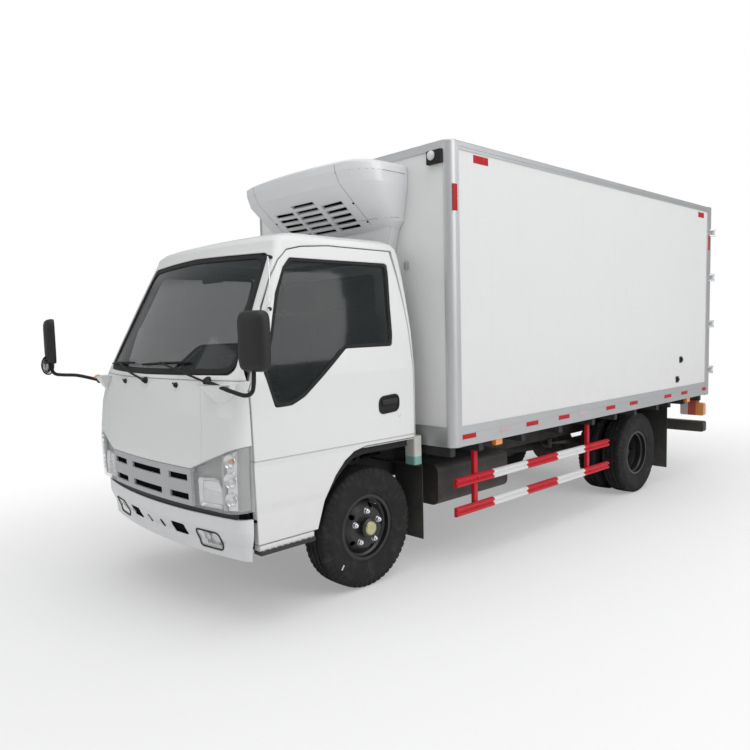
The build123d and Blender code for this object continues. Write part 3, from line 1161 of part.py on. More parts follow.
RETAINERS = ((4026.0, 1219.0), (3946.0, 1029.0))
with BuildPart() as door_retainers:
    for side in (-1, 1):
        for y, z in RETAINERS:
            block(sorted((side * skin_x, side * (skin_x + 6))), (y - 30, y + 30), (z - 30, z + 30))
            block(sorted((side * skin_x, side * (skin_x + 20))), (y - 14, y + 14), (z - 14, z + 14))
finish(door_retainers.part, "door_retainers")

# ---------------------------------------------------------------- cooling unit
# z, half width, front, bow, corner radius
UNIT_ROWS = (
    (2253.0, 600.0, 430.0, 20.0, 40.0),
    (2300.0, 640.0, 372.0, 44.0, 90.0),
    (2525.0, 682.0, 105.0, 60.0, 170.0),
    (2600.0, 682.0, 66.0, 70.0, 180.0),
    (2640.0, 676.0, 60.0, 70.0, 180.0),
    (2660.0, 650.0, 86.0, 70.0, 170.0),
)
UNIT_SLOPE = 40.8
# x from and to, and the first row, of each column of slots
SLOT_COLUMNS_UNIT = ((-368.0, -158.0, 1), (-119.0, 116.0, 0), (164.0, 361.0, 1))
SLOT_COUNT = 6
SLOT_FIRST = (190.0, 2460.0)
SLOT_PITCH = (39.4, -34.0)
SLOT_HEIGHT = 27.0
SLOT_DEPTH = 26.0
NECK_ROWS = ((1950.0, 520.0), (2262.0, 600.0))
NECK_FRONT = 438.0
with BuildPart() as unit_housing:
    for z, half_width, front, bow, corner in UNIT_ROWS:
        with BuildSketch(Plane.XY.offset(z)) as row:
            with BuildLine():
                Line((-half_width, back(skin_front)), (-half_width, back(front + bow)))
                ThreePointArc((-half_width, back(front + bow)), (0, back(front)), (half_width, back(front + bow)))
                Line((half_width, back(front + bow)), (half_width, back(skin_front)))
                Line((half_width, back(skin_front)), (-half_width, back(skin_front)))
            make_face()
            fillet(row.vertices().sort_by(Axis.Y)[:2], corner)
    loft(ruled=True)
    for x_from, x_to, first in SLOT_COLUMNS_UNIT:
        for place in range(first, SLOT_COUNT):
            y = SLOT_FIRST[0] + place * SLOT_PITCH[0]
            z = SLOT_FIRST[1] + place * SLOT_PITCH[1]
            with Locations(Location(((x_from + x_to) / 2, back(y), z), (-UNIT_SLOPE, 0, 0))):
                Box(x_to - x_from, SLOT_HEIGHT, 2 * SLOT_DEPTH, mode=Mode.SUBTRACT)
    for z, half_width in NECK_ROWS:
        with BuildSketch(Plane.XY.offset(z)) as level:
            with Locations((0, back(middle((NECK_FRONT, skin_front))))):
                Rectangle(2 * half_width, skin_front - NECK_FRONT)
        if z == NECK_ROWS[0][0]:
            neck_foot = level.sketch
    loft(sections=[neck_foot, level.sketch], ruled=True)
finish(unit_housing.part, "unit_housing")

with BuildPart() as evaporator:
    block((-600, 600), (skin_front + BOX_WALL, 1000), (2420, ROOF_UNDER))
    fillet(evaporator.edges().filter_by(Axis.X).group_by(Axis.Y)[-1].sort_by(Axis.Z)[:1], 60.0)
    for x in (-300.0, 300.0):
        rod((x, 1005, 2555), (0, -1, 0), 60, 95, mode=Mode.SUBTRACT)
finish(evaporator.part, "evaporator")

MARKER = ((867.0, 984.0), (2617.0, 2700.0))
SIDE_MARKERS = (1018.0, 4228.0)
with BuildPart() as marker_lamps:
    for side in (-1, 1):
        with BuildSketch(Plane.XZ.offset(-back(skin_front))) as lens:
            with Locations((side * middle(MARKER[0]), middle(MARKER[1]))):
                RectangleRounded(MARKER[0][1] - MARKER[0][0], MARKER[1][1] - MARKER[1][0], 12)
        extrude(lens.sketch, amount=26, taper=8)
        for y in SIDE_MARKERS:
            block(sorted((side * (BEARER_HALF_WIDTH + 2), side * skin_x)), (y - 38, y + 38), (782, BOX_BOTTOM))
finish(marker_lamps.part, "marker_lamps")
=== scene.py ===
import json
import math
from functools import partialmethod
from itertools import product

import bmesh
import bpy
from mathutils import Matrix, Vector
from mathutils.bvhtree import BVHTree


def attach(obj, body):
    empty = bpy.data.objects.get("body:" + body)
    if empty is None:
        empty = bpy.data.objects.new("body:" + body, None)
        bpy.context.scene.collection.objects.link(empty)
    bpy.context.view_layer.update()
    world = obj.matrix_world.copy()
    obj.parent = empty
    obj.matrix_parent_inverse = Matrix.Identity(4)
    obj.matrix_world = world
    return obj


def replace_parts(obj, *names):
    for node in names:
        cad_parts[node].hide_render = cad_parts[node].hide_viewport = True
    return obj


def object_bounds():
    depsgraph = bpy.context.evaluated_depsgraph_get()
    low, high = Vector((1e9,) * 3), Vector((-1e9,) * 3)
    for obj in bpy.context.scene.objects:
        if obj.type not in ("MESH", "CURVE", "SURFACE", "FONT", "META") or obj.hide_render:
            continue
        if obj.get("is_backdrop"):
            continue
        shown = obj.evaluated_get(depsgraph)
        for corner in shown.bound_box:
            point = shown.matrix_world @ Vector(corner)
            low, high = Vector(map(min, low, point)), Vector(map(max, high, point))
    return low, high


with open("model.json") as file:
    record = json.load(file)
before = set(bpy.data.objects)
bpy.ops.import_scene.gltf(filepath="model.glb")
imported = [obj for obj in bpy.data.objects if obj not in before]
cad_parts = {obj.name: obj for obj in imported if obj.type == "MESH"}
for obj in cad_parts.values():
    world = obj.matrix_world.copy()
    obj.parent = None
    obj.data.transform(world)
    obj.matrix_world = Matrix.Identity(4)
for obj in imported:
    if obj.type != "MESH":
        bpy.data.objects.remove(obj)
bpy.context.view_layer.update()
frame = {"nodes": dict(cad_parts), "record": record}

FRONT_AXLE = -1.762
WHEELBASE = 3.36
AXLE_HEIGHT = 0.375
SIDES = ((1, "left"), (-1, "right"))
# heights on the cab, its doors and its bumper
CAB_FLOOR = 0.902
CAB_WAIST = 1.345
DOOR_LINE = 0.921
SILL_CREASE = 0.665
BUMPER_SHOULDER = 0.6225
# from the truck's middle: the cab's sides below the waist, and the front panel's joints
CAB_HALF_WIDTH = 0.848
PANEL_JOINT = 0.546
# where the guards' first red length starts, and how long a red and a white one are together
FIRST_RED = 0.615
RED_AND_WHITE = 0.8275


def back(distance):
    """Y of a place this far behind the front axle."""
    return FRONT_AXLE + distance


# ---- shader building
def grey(level):
    return (level, level, level)


class Value:
    """A number socket in a finish, with arithmetic that adds Math nodes."""

    def __init__(self, finish, socket):
        self.finish = finish
        self.socket = socket

    def math(self, operation, *others):
        return self.finish.node("ShaderNodeMath", {"operation": operation}, [self, *others])

    __add__ = __radd__ = partialmethod(math, "ADD")
    __mul__ = __rmul__ = partialmethod(math, "MULTIPLY")
    __sub__ = partialmethod(math, "SUBTRACT")
    __gt__ = partialmethod(math, "GREATER_THAN")
    __lt__ = partialmethod(math, "LESS_THAN")
    abs = partialmethod(math, "ABSOLUTE")

    def __rsub__(self, other):
        return self.finish.node("ShaderNodeMath", {"operation": "SUBTRACT"}, [other, self])

    def fold(self):
        """Distance from the middle of each unit step, for ribs and threads."""
        return (self.math("FRACT") - 0.5).abs()

    def above(self, level):
        """How far this value is above a level, and 0 below it."""
        return (self - level).math("MAXIMUM", 0.0)

    def clamp(self):
        return self.finish.node("ShaderNodeClamp", {}, [self])

    def ramp(self, low, high, to_low=0.0, to_high=1.0):
        """This value's place between low and high, smoothed, as to_low to to_high."""
        return self.finish.node(
            "ShaderNodeMapRange", {"interpolation_type": "SMOOTHSTEP"}, [self, low, high, to_low, to_high]
        )


class Finish:
    """One procedural material or world: nodes are added through node(), and surface() closes a material."""

    def __init__(self, name, owner=None):
        self.owner = owner or bpy.data.materials.new(name)
        self.owner.use_nodes = True
        self.tree = self.owner.node_tree
        self.tree.nodes.clear()
        self.place = self.node("ShaderNodeTexCoord", {}, {}, output=3)
        self.x, self.y, self.z = (
            self.node("ShaderNodeSeparateXYZ", {}, [self.place], output=axis) for axis in range(3)
        )

    def put(self, socket, value):
        if isinstance(value, Value):
            self.tree.links.new(value.socket, socket)
        elif socket.type == "RGBA":
            socket.default_value = (*value, 1.0)
        else:
            socket.default_value = value

    def node(self, kind, settings, sockets, output=0):
        made = self.tree.nodes.new(kind)
        for key, value in settings.items():
            setattr(made, key, value)
        pairs = sockets.items() if isinstance(sockets, dict) else enumerate(sockets)
        for key, value in pairs:
            self.put(made.inputs[key], value)
        return None if output is None else Value(self, made.outputs[output])

    def noise(self, scale, detail=3.0, rough=0.55, stretch=None):
        """Noise from 0 to 1 over the object, scale in cycles per metre."""
        place = self.place
        if stretch:
            place = self.node("ShaderNodeVectorMath", {"operation": "MULTIPLY"}, [place, stretch])
        return self.node(
            "ShaderNodeTexNoise", {"noise_dimensions": "3D"},
            {"Vector": place, "Scale": scale, "Detail": detail, "Roughness": rough},
        )

    def cells(self, scale):
        return self.node("ShaderNodeTexVoronoi", {"feature": "F1"}, {"Vector": self.place, "Scale": scale})

    def mix(self, amount, first, second):
        """A colour between two colours."""
        return self.node(
            "ShaderNodeMix", {"data_type": "RGBA"}, {"Factor": amount, 6: first, 7: second}, output=2
        )

    def drift(self, amount, colour, share, lift=0.0):
        """A colour between this one and a share of it, plus a lift."""
        return self.mix(amount, colour, tuple(min(1.0, c * share + lift) for c in colour))

    def dusty(self, colour, low, high, dust, amount):
        """Road dust that thins out with height, in patches."""
        fall = self.z.ramp(low, high, 1.0, 0.0)
        return self.mix((fall * self.noise(9.0, 5.0, 0.65) * amount * 1.6).clamp(), colour, dust)

    def bump(self, height, distance, strength=1.0, normal=None):
        sockets = {"Strength": strength, "Distance": distance, "Height": height}
        if normal:
            sockets["Normal"] = normal
        return self.node("ShaderNodeBump", {}, sockets)

    def soft_edges(self, radius):
        return self.node("ShaderNodeBevel", {"samples": 6}, {"Radius": radius})

    def surface(self, **inputs):
        shader = self.node(
            "ShaderNodeBsdfPrincipled", {}, {key.replace("_", " "): value for key, value in inputs.items()}
        )
        self.node("ShaderNodeOutputMaterial", {}, [shader], output=None)
        return self.owner

    # what the painted finishes share
    def road_paint(self, colour, low=0.3, high=1.2, amount=0.12):
        """White paint under a thin road film: its tone, which changes slightly, and its colour."""
        tone = self.noise(1.7, 2.0)
        return tone, self.dusty(self.drift(tone * 0.35, colour, 0.93), low, high, (0.55, 0.53, 0.49), amount)

    def peel(self, edge):
        """The faint orange peel of sprayed paint, with the edges rounded to a radius."""
        return self.bump(self.noise(420.0, 1.0), 0.0004, 0.12, self.soft_edges(edge))

    def gloss(self, colour, roughness, normal, dull=0.0):
        """Closes a paint whose clear coat is missing where it is dull."""
        return self.surface(
            Base_Color=colour, Roughness=roughness, Coat_Weight=0.55 - dull * 0.55, Coat_Roughness=0.06,
            Normal=normal,
        )


def paint_finish(f, colour, dust=0.12, edge=0.012, roughness=0.28, low=0.3, high=1.2):
    """Gloss paint with a faint orange peel, slight tone changes and thin road film."""
    film = f.road_paint(colour, low, high, dust)[1]
    return f.gloss(film, roughness + f.noise(14.0, 4.0) * 0.12, f.peel(edge))


def plastic_finish(f, colour, roughness, dust, grain=900.0, depth=0.0006):
    """Moulded plastic with a fine leather grain, paler where it is rubbed."""
    tone = f.noise(4.0, 3.0)
    film = f.dusty(f.drift(tone * 0.5, colour, 1.25, 0.006), 0.0, 0.9, (0.4, 0.38, 0.34), dust)
    normal = f.bump(f.cells(grain), depth, 0.35, f.soft_edges(0.003))
    return f.surface(Base_Color=film, Roughness=roughness + tone * 0.2, Normal=normal)


def metal_finish(f, colour, brush=(2.0, 2.0, 90.0), roughness=0.32, depth=0.0004):
    """Metal with a drawn grain along one direction and cloudy oxide."""
    grain = f.noise(12.0, 6.0, 0.7, brush)
    shade = f.drift(f.noise(3.0, 3.0) * 0.6, colour, 0.85)
    normal = f.bump(grain, depth, 0.25, f.soft_edges(0.002))
    return f.surface(Base_Color=shade, Metallic=0.9, Roughness=roughness + grain * 0.22, Normal=normal)


def frame_finish(f, colour, rust=0.18, roughness=0.5, dust=0.6):
    """Satin chassis paint, dusty low down, with rust starting in spots."""
    spots = f.noise(26.0, 6.0, 0.7)
    rusted = f.mix((spots.ramp(0.62, 0.74) * rust).clamp(), colour, (0.2, 0.09, 0.04))
    film = f.dusty(rusted, 0.0, 1.0, (0.3, 0.27, 0.23), dust)
    normal = f.bump(f.noise(160.0, 4.0), 0.0008, 0.3, f.soft_edges(0.003))
    return f.surface(Base_Color=film, Roughness=roughness + spots * 0.3, Normal=normal)


def glass_finish(f, tint, clear, band=0.0):
    """Tinted safety glass: glossy, partly see-through, lightly smeared, with a shade band on top."""
    smear = f.noise(5.0, 4.0)
    return f.surface(
        Base_Color=f.drift(smear * 0.25, tint, 1.6, 0.03), Roughness=0.03 + smear * 0.04,
        Alpha=clear + smear * 0.05 + f.z.ramp(1.86, 2.0) * band,
        Coat_Weight=0.2, Coat_Roughness=0.02, Specular_IOR_Level=0.5,
    )


def film_finish(f, colour):
    """Reflective marker film: a fine grid of cells under a dull clear layer, dusty in patches."""
    cells = f.cells(260.0)
    dust = f.noise(30.0, 4.0)
    film = f.mix(dust.ramp(0.5, 0.8) * 0.15, f.drift(cells * 0.4, colour, 0.75), (0.45, 0.42, 0.38))
    return f.surface(
        Base_Color=film, Roughness=0.45 + dust * 0.2, Specular_IOR_Level=0.3,
        Normal=f.bump(cells, 0.0003, 0.2),
    )


def lens_finish(f, colour, alpha=1.0, rib=0.012, roughness=0.12, strength=0.4):
    """Moulded lamp lens with optic ribs under a clear gloss, the ribs painted paler as a painted highlight.
    """
    pattern = (f.x * (1.0 / rib)).fold() + (f.z * (1.0 / rib)).fold()
    # painted highlight: the colour turns paler along the optic ribs
    return f.surface(
        Base_Color=f.drift(pattern * 0.5, colour, 1.5, 0.04), Roughness=roughness + pattern * 0.08,
        Alpha=alpha, Coat_Weight=0.8, Normal=f.bump(pattern, 0.002, strength),
    )


def rail_finish(f):
    """Guard paint: red and white lengths along both rails, red posts."""
    red = ((f.y - back(FIRST_RED)) * (1.0 / RED_AND_WHITE)).math("FRACT") < 0.5
    posts = f.x.abs() < 0.9555
    wear = f.noise(30.0, 5.0)
    white = f.mix(wear * 0.3, (0.78, 0.79, 0.79), (0.66, 0.65, 0.62))
    crimson = f.mix(wear * 0.3, (0.6, 0.006, 0.022), (0.44, 0.01, 0.022))
    film = f.dusty(f.mix((red + posts).clamp(), white, crimson), 0.2, 0.8, (0.5, 0.47, 0.42), 0.06)
    return f.surface(
        Base_Color=film, Roughness=0.4 + wear * 0.2, Specular_IOR_Level=0.3, Normal=f.soft_edges(0.0015)
    )


def box_skin_finish(f):
    """Glass-fibre box skin: satin white, faintly wavy, with rain streaks below the top rail."""
    wave = f.noise(2.2, 1.0)
    streaks = f.noise(6.0, 5.0, 0.6, (1.0, 6.0, 0.25))
    tone = f.mix(wave * 0.3, (0.79, 0.8, 0.79), (0.74, 0.75, 0.74))
    film = f.mix(streaks.ramp(0.5, 0.8) * 0.1, tone, (0.58, 0.57, 0.54))
    return f.surface(
        Base_Color=f.dusty(film, 0.8, 1.6, (0.56, 0.54, 0.5), 0.22), Roughness=0.38 + streaks * 0.12,
        Coat_Weight=0.15, Normal=f.bump(wave, 0.01, 0.12, f.bump(f.noise(90.0, 3.0), 0.0005, 0.15)),
    )


def tyre_finish(f):
    """Black rubber, greyer with dust in patches."""
    patches = f.noise(14.0, 5.0, 0.65)
    base = f.mix(patches * 0.5, (0.012, 0.012, 0.013), (0.022, 0.021, 0.021))
    return f.surface(
        Base_Color=f.mix(patches.ramp(0.45, 0.8) * 0.22, base, (0.14, 0.125, 0.105)),
        Roughness=0.62 + patches * 0.25, Specular_IOR_Level=0.3,
        Normal=f.bump(f.noise(220.0, 3.0), 0.0006, 0.4),
    )


def hollow_finish(f):
    """Near-black matt with a little dust: painted shade, standing in for the dark behind a slot or a hole."""
    dust = f.noise(40.0, 4.0)
    shade = f.mix(dust * 0.3, grey(0.004), (0.012, 0.011, 0.01))
    return f.surface(Base_Color=shade, Roughness=0.9 + dust * 0.1, Specular_IOR_Level=0.05)


def cloth_finish(f, colour):
    """Woven seat cloth: two threads crossing, with worn pale patches."""
    weave = ((f.x * 420.0).fold() + (f.z * 420.0 + f.y * 240.0).fold()) * 2.0
    worn = f.noise(7.0, 4.0)
    base = f.drift(weave * 0.3, colour, 1.6)
    shade = f.mix(worn * 0.25, base, tuple(c * 1.9 + 0.01 for c in colour))
    return f.surface(Base_Color=shade, Roughness=0.85 + worn * 0.1, Normal=f.bump(weave, 0.0006, 0.5))


def bumper_finish(f):
    """The bumper's white paint with its black strip above the shoulder."""
    tone, film = f.road_paint((0.78, 0.79, 0.8), 0.35, 0.75, 0.25)
    strip = f.z > BUMPER_SHOULDER
    return f.surface(
        Base_Color=f.mix(strip, film, (0.018, 0.018, 0.019)), Roughness=0.3 + strip * 0.22 + tone * 0.06,
        Coat_Weight=0.5 - strip * 0.45, Normal=f.peel(0.006),
    )


def cab_half_width(f):
    """The cab's half width at a place's height, as its sides lean in above the waist."""
    up = f.z.above(CAB_WAIST)
    return CAB_HALF_WIDTH - up * 0.06 - up * up * 0.18


def door_finish(f, colour):
    """Cab paint with the door's pressed line and the soft crease near the sill, and a grey lining inside; the
    pressed line is also painted grey, a painted shade in its groove.
    """
    tone, film = f.road_paint(colour, 0.4, 1.1, 0.14)
    line = (f.z - DOOR_LINE).abs().ramp(0.0015, 0.006)
    crease = (f.z - SILL_CREASE).ramp(-0.03, 0.03)
    # painted shade: the pressed line's groove drawn as a grey line over the paint
    crease_shaded = f.mix((1.0 - line) * 0.55, film, grey(0.3))
    pressed = f.bump(line, 0.004, 0.6, f.bump(crease, 0.012, 0.5, f.soft_edges(0.01)))
    trim = (f.x.abs() < cab_half_width(f) - 0.034) * (f.z > 0.97)
    lining = f.mix(f.noise(300.0, 2.0), grey(0.11), (0.15, 0.15, 0.145))
    return f.gloss(f.mix(trim, crease_shaded, lining), 0.26 + tone * 0.08 + trim * 0.4, pressed, trim)


def shell_finish(f, colour):
    """Cab paint outside, black underseal below the floor, a rubber mat and grey lining inside."""
    tone, film = f.road_paint(colour)
    under = (f.z < CAB_FLOOR) * (f.x.abs() < 0.79)
    tar = f.mix(f.noise(60.0, 4.0) * 0.5, grey(0.012), (0.04, 0.037, 0.033))
    behind_screen = (f.y > back(-0.93) + f.z.above(1.16) * 0.45) * (f.y < back(0.358))
    inside = (f.x.abs() < cab_half_width(f) - 0.036) * (f.z > 0.9) * (f.z < 2.064) * behind_screen
    panels = f.mix(f.noise(300.0, 2.0), grey(0.13), (0.17, 0.17, 0.165))
    lining = f.mix(inside * (f.z < 0.957), panels, (0.02, 0.02, 0.021))
    dull = (under + inside).clamp()
    colours = f.mix(inside, f.mix(under, film, tar), lining)
    return f.gloss(colours, 0.28 + tone * 0.12 + dull * 0.42, f.peel(0.012), dull)


def front_finish(f, colour):
    """Cab paint with the two faint joints where the front panel's outer wings begin."""
    tone, film = f.road_paint(colour, amount=0.1)
    lean = ((1.327 - f.z) * 0.2).math("MINIMUM", 0.041)
    line = (f.x.abs() - PANEL_JOINT - lean).abs().ramp(0.001, 0.0035)
    return f.gloss(f.mix((1.0 - line) * 0.3, film, grey(0.38)), 0.26 + tone * 0.1, f.peel(0.01))


def tail_lamp_finish(f):
    """Three lens sections: amber outside, red in the middle, clear inside, with a painted highlight along the
    optic ribs.
    """
    pattern = (f.x * 125.0).fold() + (f.z * 125.0).fold()
    inner = f.mix(f.x.abs() > 0.878, (0.62, 0.62, 0.6), (0.42, 0.01, 0.01))
    shade = f.mix(f.x.abs() > 0.958, inner, (0.72, 0.24, 0.02))
    # painted highlight: the colour turns pale along the optic ribs
    return f.surface(
        Base_Color=f.mix(pattern * 0.35, shade, (0.9, 0.55, 0.45)), Roughness=0.12 + pattern * 0.08,
        Coat_Weight=0.8, Normal=f.bump(pattern, 0.002, 0.4),
    )


def bottle_finish(f):
    """Milky polythene with green coolant showing through its lower part."""
    cloud = f.noise(20.0, 3.0)
    milk = f.mix(cloud * 0.4, (0.7, 0.71, 0.66), (0.6, 0.6, 0.55))
    shade = f.mix(f.z.ramp(0.752, 0.76, 1.0, 0.0) * 0.8, milk, (0.1, 0.42, 0.33))
    film = f.dusty(shade, 0.6, 1.0, (0.4, 0.37, 0.33), 0.15)
    return f.surface(Base_Color=film, Roughness=0.35 + cloud * 0.15, Normal=f.soft_edges(0.006))


def floor_finish(f, colour):
    """Pale matt floor that keeps the shadow near the truck and fades to white around it."""
    shade = f.drift(f.noise(0.4, 2.0) * 0.1, colour, 0.985)
    matt = f.node("ShaderNodeBsdfPrincipled", {}, {"Base Color": shade, "Roughness": 0.9})
    glow = f.node("ShaderNodeEmission", {}, {"Color": grey(1.0), "Strength": 1.0})
    seen = f.node("ShaderNodeLightPath", {}, {})
    away = (f.x * f.x + (f.y * 0.6) * (f.y * 0.6)).math("POWER", 0.5)
    both = f.node("ShaderNodeMixShader", {}, [seen * away.ramp(1.6, 4.4, 0.3, 1.0), matt, glow])
    f.node("ShaderNodeOutputMaterial", {}, [both], output=None)
    return f.owner


WHITE = (0.81, 0.815, 0.805)
EVEN = (1.0, 1.0, 1.0)
FINISHES = {
    paint_finish: {
        "body_white": (WHITE,), "unit_white": ((0.78, 0.79, 0.8), 0.1, 0.02, 0.34, 1.9, 2.9),
        "liner_white": ((0.72, 0.73, 0.73), 0.0, 0.01, 0.35),
    },
    plastic_finish: {
        "trim_grey": ((0.44, 0.45, 0.46), 0.38, 0.15), "trim_black": ((0.009, 0.009, 0.01), 0.45, 0.12),
        "interior_grey": ((0.1, 0.1, 0.105), 0.55, 0.0), "rubber": (grey(0.009), 0.7, 0.2, 300.0),
        "seam": (grey(0.22), 0.6, 0.2, 300.0, 0.0004),
    },
    frame_finish: {
        "chassis_black": ((0.014, 0.014, 0.015), 0.18, 0.5, 0.35), "cast_grey": (grey(0.1), 0.4, 0.7),
        "spring_steel": ((0.03, 0.03, 0.033), 0.5, 0.6),
        "wheel_black": ((0.009, 0.009, 0.01), 0.03, 0.18, 0.07),
        "fuel_metal": ((0.016, 0.016, 0.017), 0.08, 0.35, 0.3),
        "exhaust_metal": ((0.16, 0.13, 0.11), 0.6, 0.6),
    },
    tyre_finish: {"tyre": ()},
    cloth_finish: {"seat_cloth": ((0.045, 0.048, 0.055),)},
    rail_finish: {"guard_white": ()},
    box_skin_finish: {"box_white": ()},
    metal_finish: {
        "stainless": ((0.62, 0.63, 0.64),), "box_aluminium": ((0.6, 0.61, 0.62), (2.0, 2.0, 90.0), 0.38),
        "chrome": ((0.88, 0.88, 0.89), EVEN, 0.08, 0.0001),
        "lamp_case": ((0.36, 0.36, 0.35), EVEN, 0.35, 0.0002),
        "zinc": ((0.62, 0.58, 0.33), (3.0, 3.0, 3.0), 0.3, 0.0002),
        "mirror_glass": ((0.8, 0.82, 0.84), EVEN, 0.02, 0.00002),
    },
    glass_finish: {"glass": ((0.012, 0.018, 0.019), 0.4), "windscreen": ((0.012, 0.019, 0.021), 0.42, 0.35)},
    lens_finish: {
        "lamp_amber": ((0.75, 0.22, 0.02),), "lamp_clear": ((0.75, 0.77, 0.78), 0.25, 0.03, 0.04, 0.1),
        "bulb": ((0.85, 0.8, 0.7), 1.0, 0.02, 0.05, 0.05),
        "amber_bulb": ((0.7, 0.25, 0.05), 1.0, 0.02, 0.08, 0.05),
    },
    # dark_mesh here is painted shade: near-black for the dark behind the grille, the bumper's holes and the
    # unit's slots
    hollow_finish: {"dark_mesh": ()},
    film_finish: {
        "mark_red": ((0.5, 0.006, 0.012),), "mark_white": ((0.76, 0.76, 0.75),),
        "mark_faded": ((0.56, 0.46, 0.46),),
    },
    bumper_finish: {"bumper_paint": ()},
    door_finish: {"door_paint": (WHITE,)},
    shell_finish: {"shell_paint": (WHITE,)},
    front_finish: {"front_paint": (WHITE,)},
    tail_lamp_finish: {"tail_lens": ()},
    bottle_finish: {"bottle": ()},
    floor_finish: {"pale_floor": (grey(0.86),)},
}
finishes = {
    name: build(Finish(name), *values) for build, rows in FINISHES.items() for name, values in rows.items()
}
# CAD nodes with a finish of their own; the others take the one named by their slot
OWN = {
    "cab_shell": "shell_paint", "door_left": "door_paint", "door_right": "door_paint",
    "front_panel": "front_paint", "bumper": "bumper_paint", "cab_glass": "windscreen",
    "tail_lamps": "tail_lens", "door_retainers": "trim_black", "coolant_bottle": "bottle",
}
for part in frame["record"]["subparts"]:
    mesh = frame["nodes"][part["node"]].data
    mesh.materials.clear()
    mesh.materials.append(finishes[OWN.get(part["node"], part["material_slot"])])
    for face in mesh.polygons:
        face.material_index = 0

# ---- making pieces
scene = bpy.context.scene
Y_AXIS = Vector((0, 1, 0))
Z_AXIS = Vector((0, 0, 1))
# where rays start: in front of the truck and beside it
AHEAD, BESIDE = -1.6, 1.5


def piece(name, bm, finish, body="cab", sharp=35.0):
    """Makes the mesh a shown piece that moves with a body, with its finish as its material."""
    bmesh.ops.recalc_face_normals(bm, faces=bm.faces)
    mesh = bpy.data.meshes.new(name)
    bm.to_mesh(mesh)
    bm.free()
    mesh.polygons.foreach_set("use_smooth", [True] * len(mesh.polygons))
    mesh.set_sharp_from_angle(angle=math.radians(sharp))
    mesh.materials.append(finishes[finish])
    made = bpy.data.objects.new(name, mesh)
    scene.collection.objects.link(made)
    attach(made, body)
    return made


def at(x, behind, z):
    """A place, its depth counted back from the front axle."""
    return Vector((x, back(behind), z))


def mm(points):
    """Pairs given in millimetres, in metres."""
    return [(a / 1000.0, b / 1000.0) for a, b in points]


def spread(low, high, count):
    """Even steps from low to high, both ends included."""
    return [low + (high - low) * k / count for k in range(count + 1)]


def spin(degrees, axis="X"):
    return Matrix.Rotation(math.radians(degrees), 3, axis)


def smooth_line(points, steps=5):
    """A smooth line through the points."""
    points = [Vector(p) for p in points]
    last = len(points) - 1
    line = []
    for i in range(last):
        a, b, c, d = (points[min(max(i + k, 0), last)] for k in (-1, 0, 1, 2))
        square, cube = 2 * a - 5 * b + 4 * c - d, 3 * b - a - 3 * c + d
        for t in (step / steps for step in range(steps)):
            line.append(0.5 * (2 * b + (c - a) * t + square * t * t + cube * t ** 3))
    return line + [points[-1]]


def add_rings(bm, rings, closed=False):
    """Skins rings of equal counts; an open stack is capped at both ends."""
    made = [[bm.verts.new(p) for p in ring] for ring in rings]
    count = len(made[0])
    for first, second in zip(made, made[1:] + made[:1] if closed else made[1:]):
        for i in range(count):
            j = (i + 1) % count
            bm.faces.new((first[i], first[j], second[j], second[i]))
    if not closed:
        bm.faces.new(made[0])
        bm.faces.new(made[-1])


def add_sheet(bm, rows):
    """Skins rows of places; a square with a corner missing stays open."""
    made = [[bm.verts.new(p) if p else None for p in row] for row in rows]
    for first, second in zip(made, made[1:]):
        for i in range(len(first) - 1):
            corners = (first[i], first[i + 1], second[i + 1], second[i])
            if all(corners):
                bm.faces.new(corners)


def bar_section(foot, top, low, high):
    """A four-cornered section, half widths at its foot and top."""
    return [(-foot, low), (foot, low), (top, high), (-top, high)]


def oblong(wide, high, across, up, count):
    """A rounded oblong of (across, up) points; a smaller power gives squarer corners."""
    turns = ((math.cos(a), math.sin(a)) for a in (2 * math.pi * k / count for k in range(count)))
    return [
        (math.copysign(abs(c) ** across, c) * wide, math.copysign(abs(s) ** up, s) * high) for c, s in turns
    ]


def round_section(radius, sides=8, flat=1.0):
    return oblong(radius, radius * flat, 1.0, 1.0, sides)


def add_sweep(bm, line, section, ups, closed=False):
    """Sweeps a section of (across, up) points along a line; ups is one direction or one for each point."""
    rings = []
    count = len(line)
    for i, point in enumerate(line):
        ahead = line[(i + 1) % count] if closed else line[min(i + 1, count - 1)]
        before = line[i - 1] if closed else line[max(i - 1, 0)]
        along = (ahead - before).normalized()
        across = along.cross(Vector(ups[i]) if isinstance(ups, list) else Vector(ups)).normalized()
        lift = across.cross(along)
        rings.append([point + across * u + lift * v for u, v in section])
    add_rings(bm, rings, closed)


def add_tube(bm, points, radius, sides, steps, up, flat=1.0):
    """A round or flattened bar along a smooth line."""
    add_sweep(bm, smooth_line(points, steps), round_section(radius, sides, flat), up)


def add_turned(bm, centre, axis, profile, segments=24):
    """Turns a profile of (along, radius) in millimetres about an axis through the centre."""
    axis = Vector(axis).normalized()
    side = axis.orthogonal().normalized()
    other = axis.cross(side)
    turns = [2 * math.pi * k / segments for k in range(segments)]
    spokes = [side * math.cos(a) + other * math.sin(a) for a in turns]
    add_rings(bm, [
        [Vector(centre) + axis * along + spoke * max(radius, 0.0002) for spoke in spokes]
        for along, radius in mm(profile)
    ])


def add_block(bm, low, high, bevel=0.002, turn=None):
    """A block with rounded edges between two opposite corners, turned about its middle."""
    low, high = Vector(map(min, low, high)), Vector(map(max, low, high))
    made = bmesh.ops.create_cube(bm, size=1.0)["verts"]
    for vert in made:
        away = vert.co * (high - low)
        vert.co = (low + high) / 2 + (turn @ away if turn else away)
    edges = {edge for vert in made for edge in vert.link_edges}
    bmesh.ops.bevel(bm, geom=list(edges), offset=bevel, segments=2, affect="EDGES", profile=0.6)


def skin_of(*nodes):
    """The CAD nodes' faces together, for finding places on them."""
    bm = bmesh.new()
    for name in nodes:
        bm.from_mesh(frame["nodes"][name].data)
    tree = BVHTree.FromBMesh(bm)
    bm.free()
    return tree


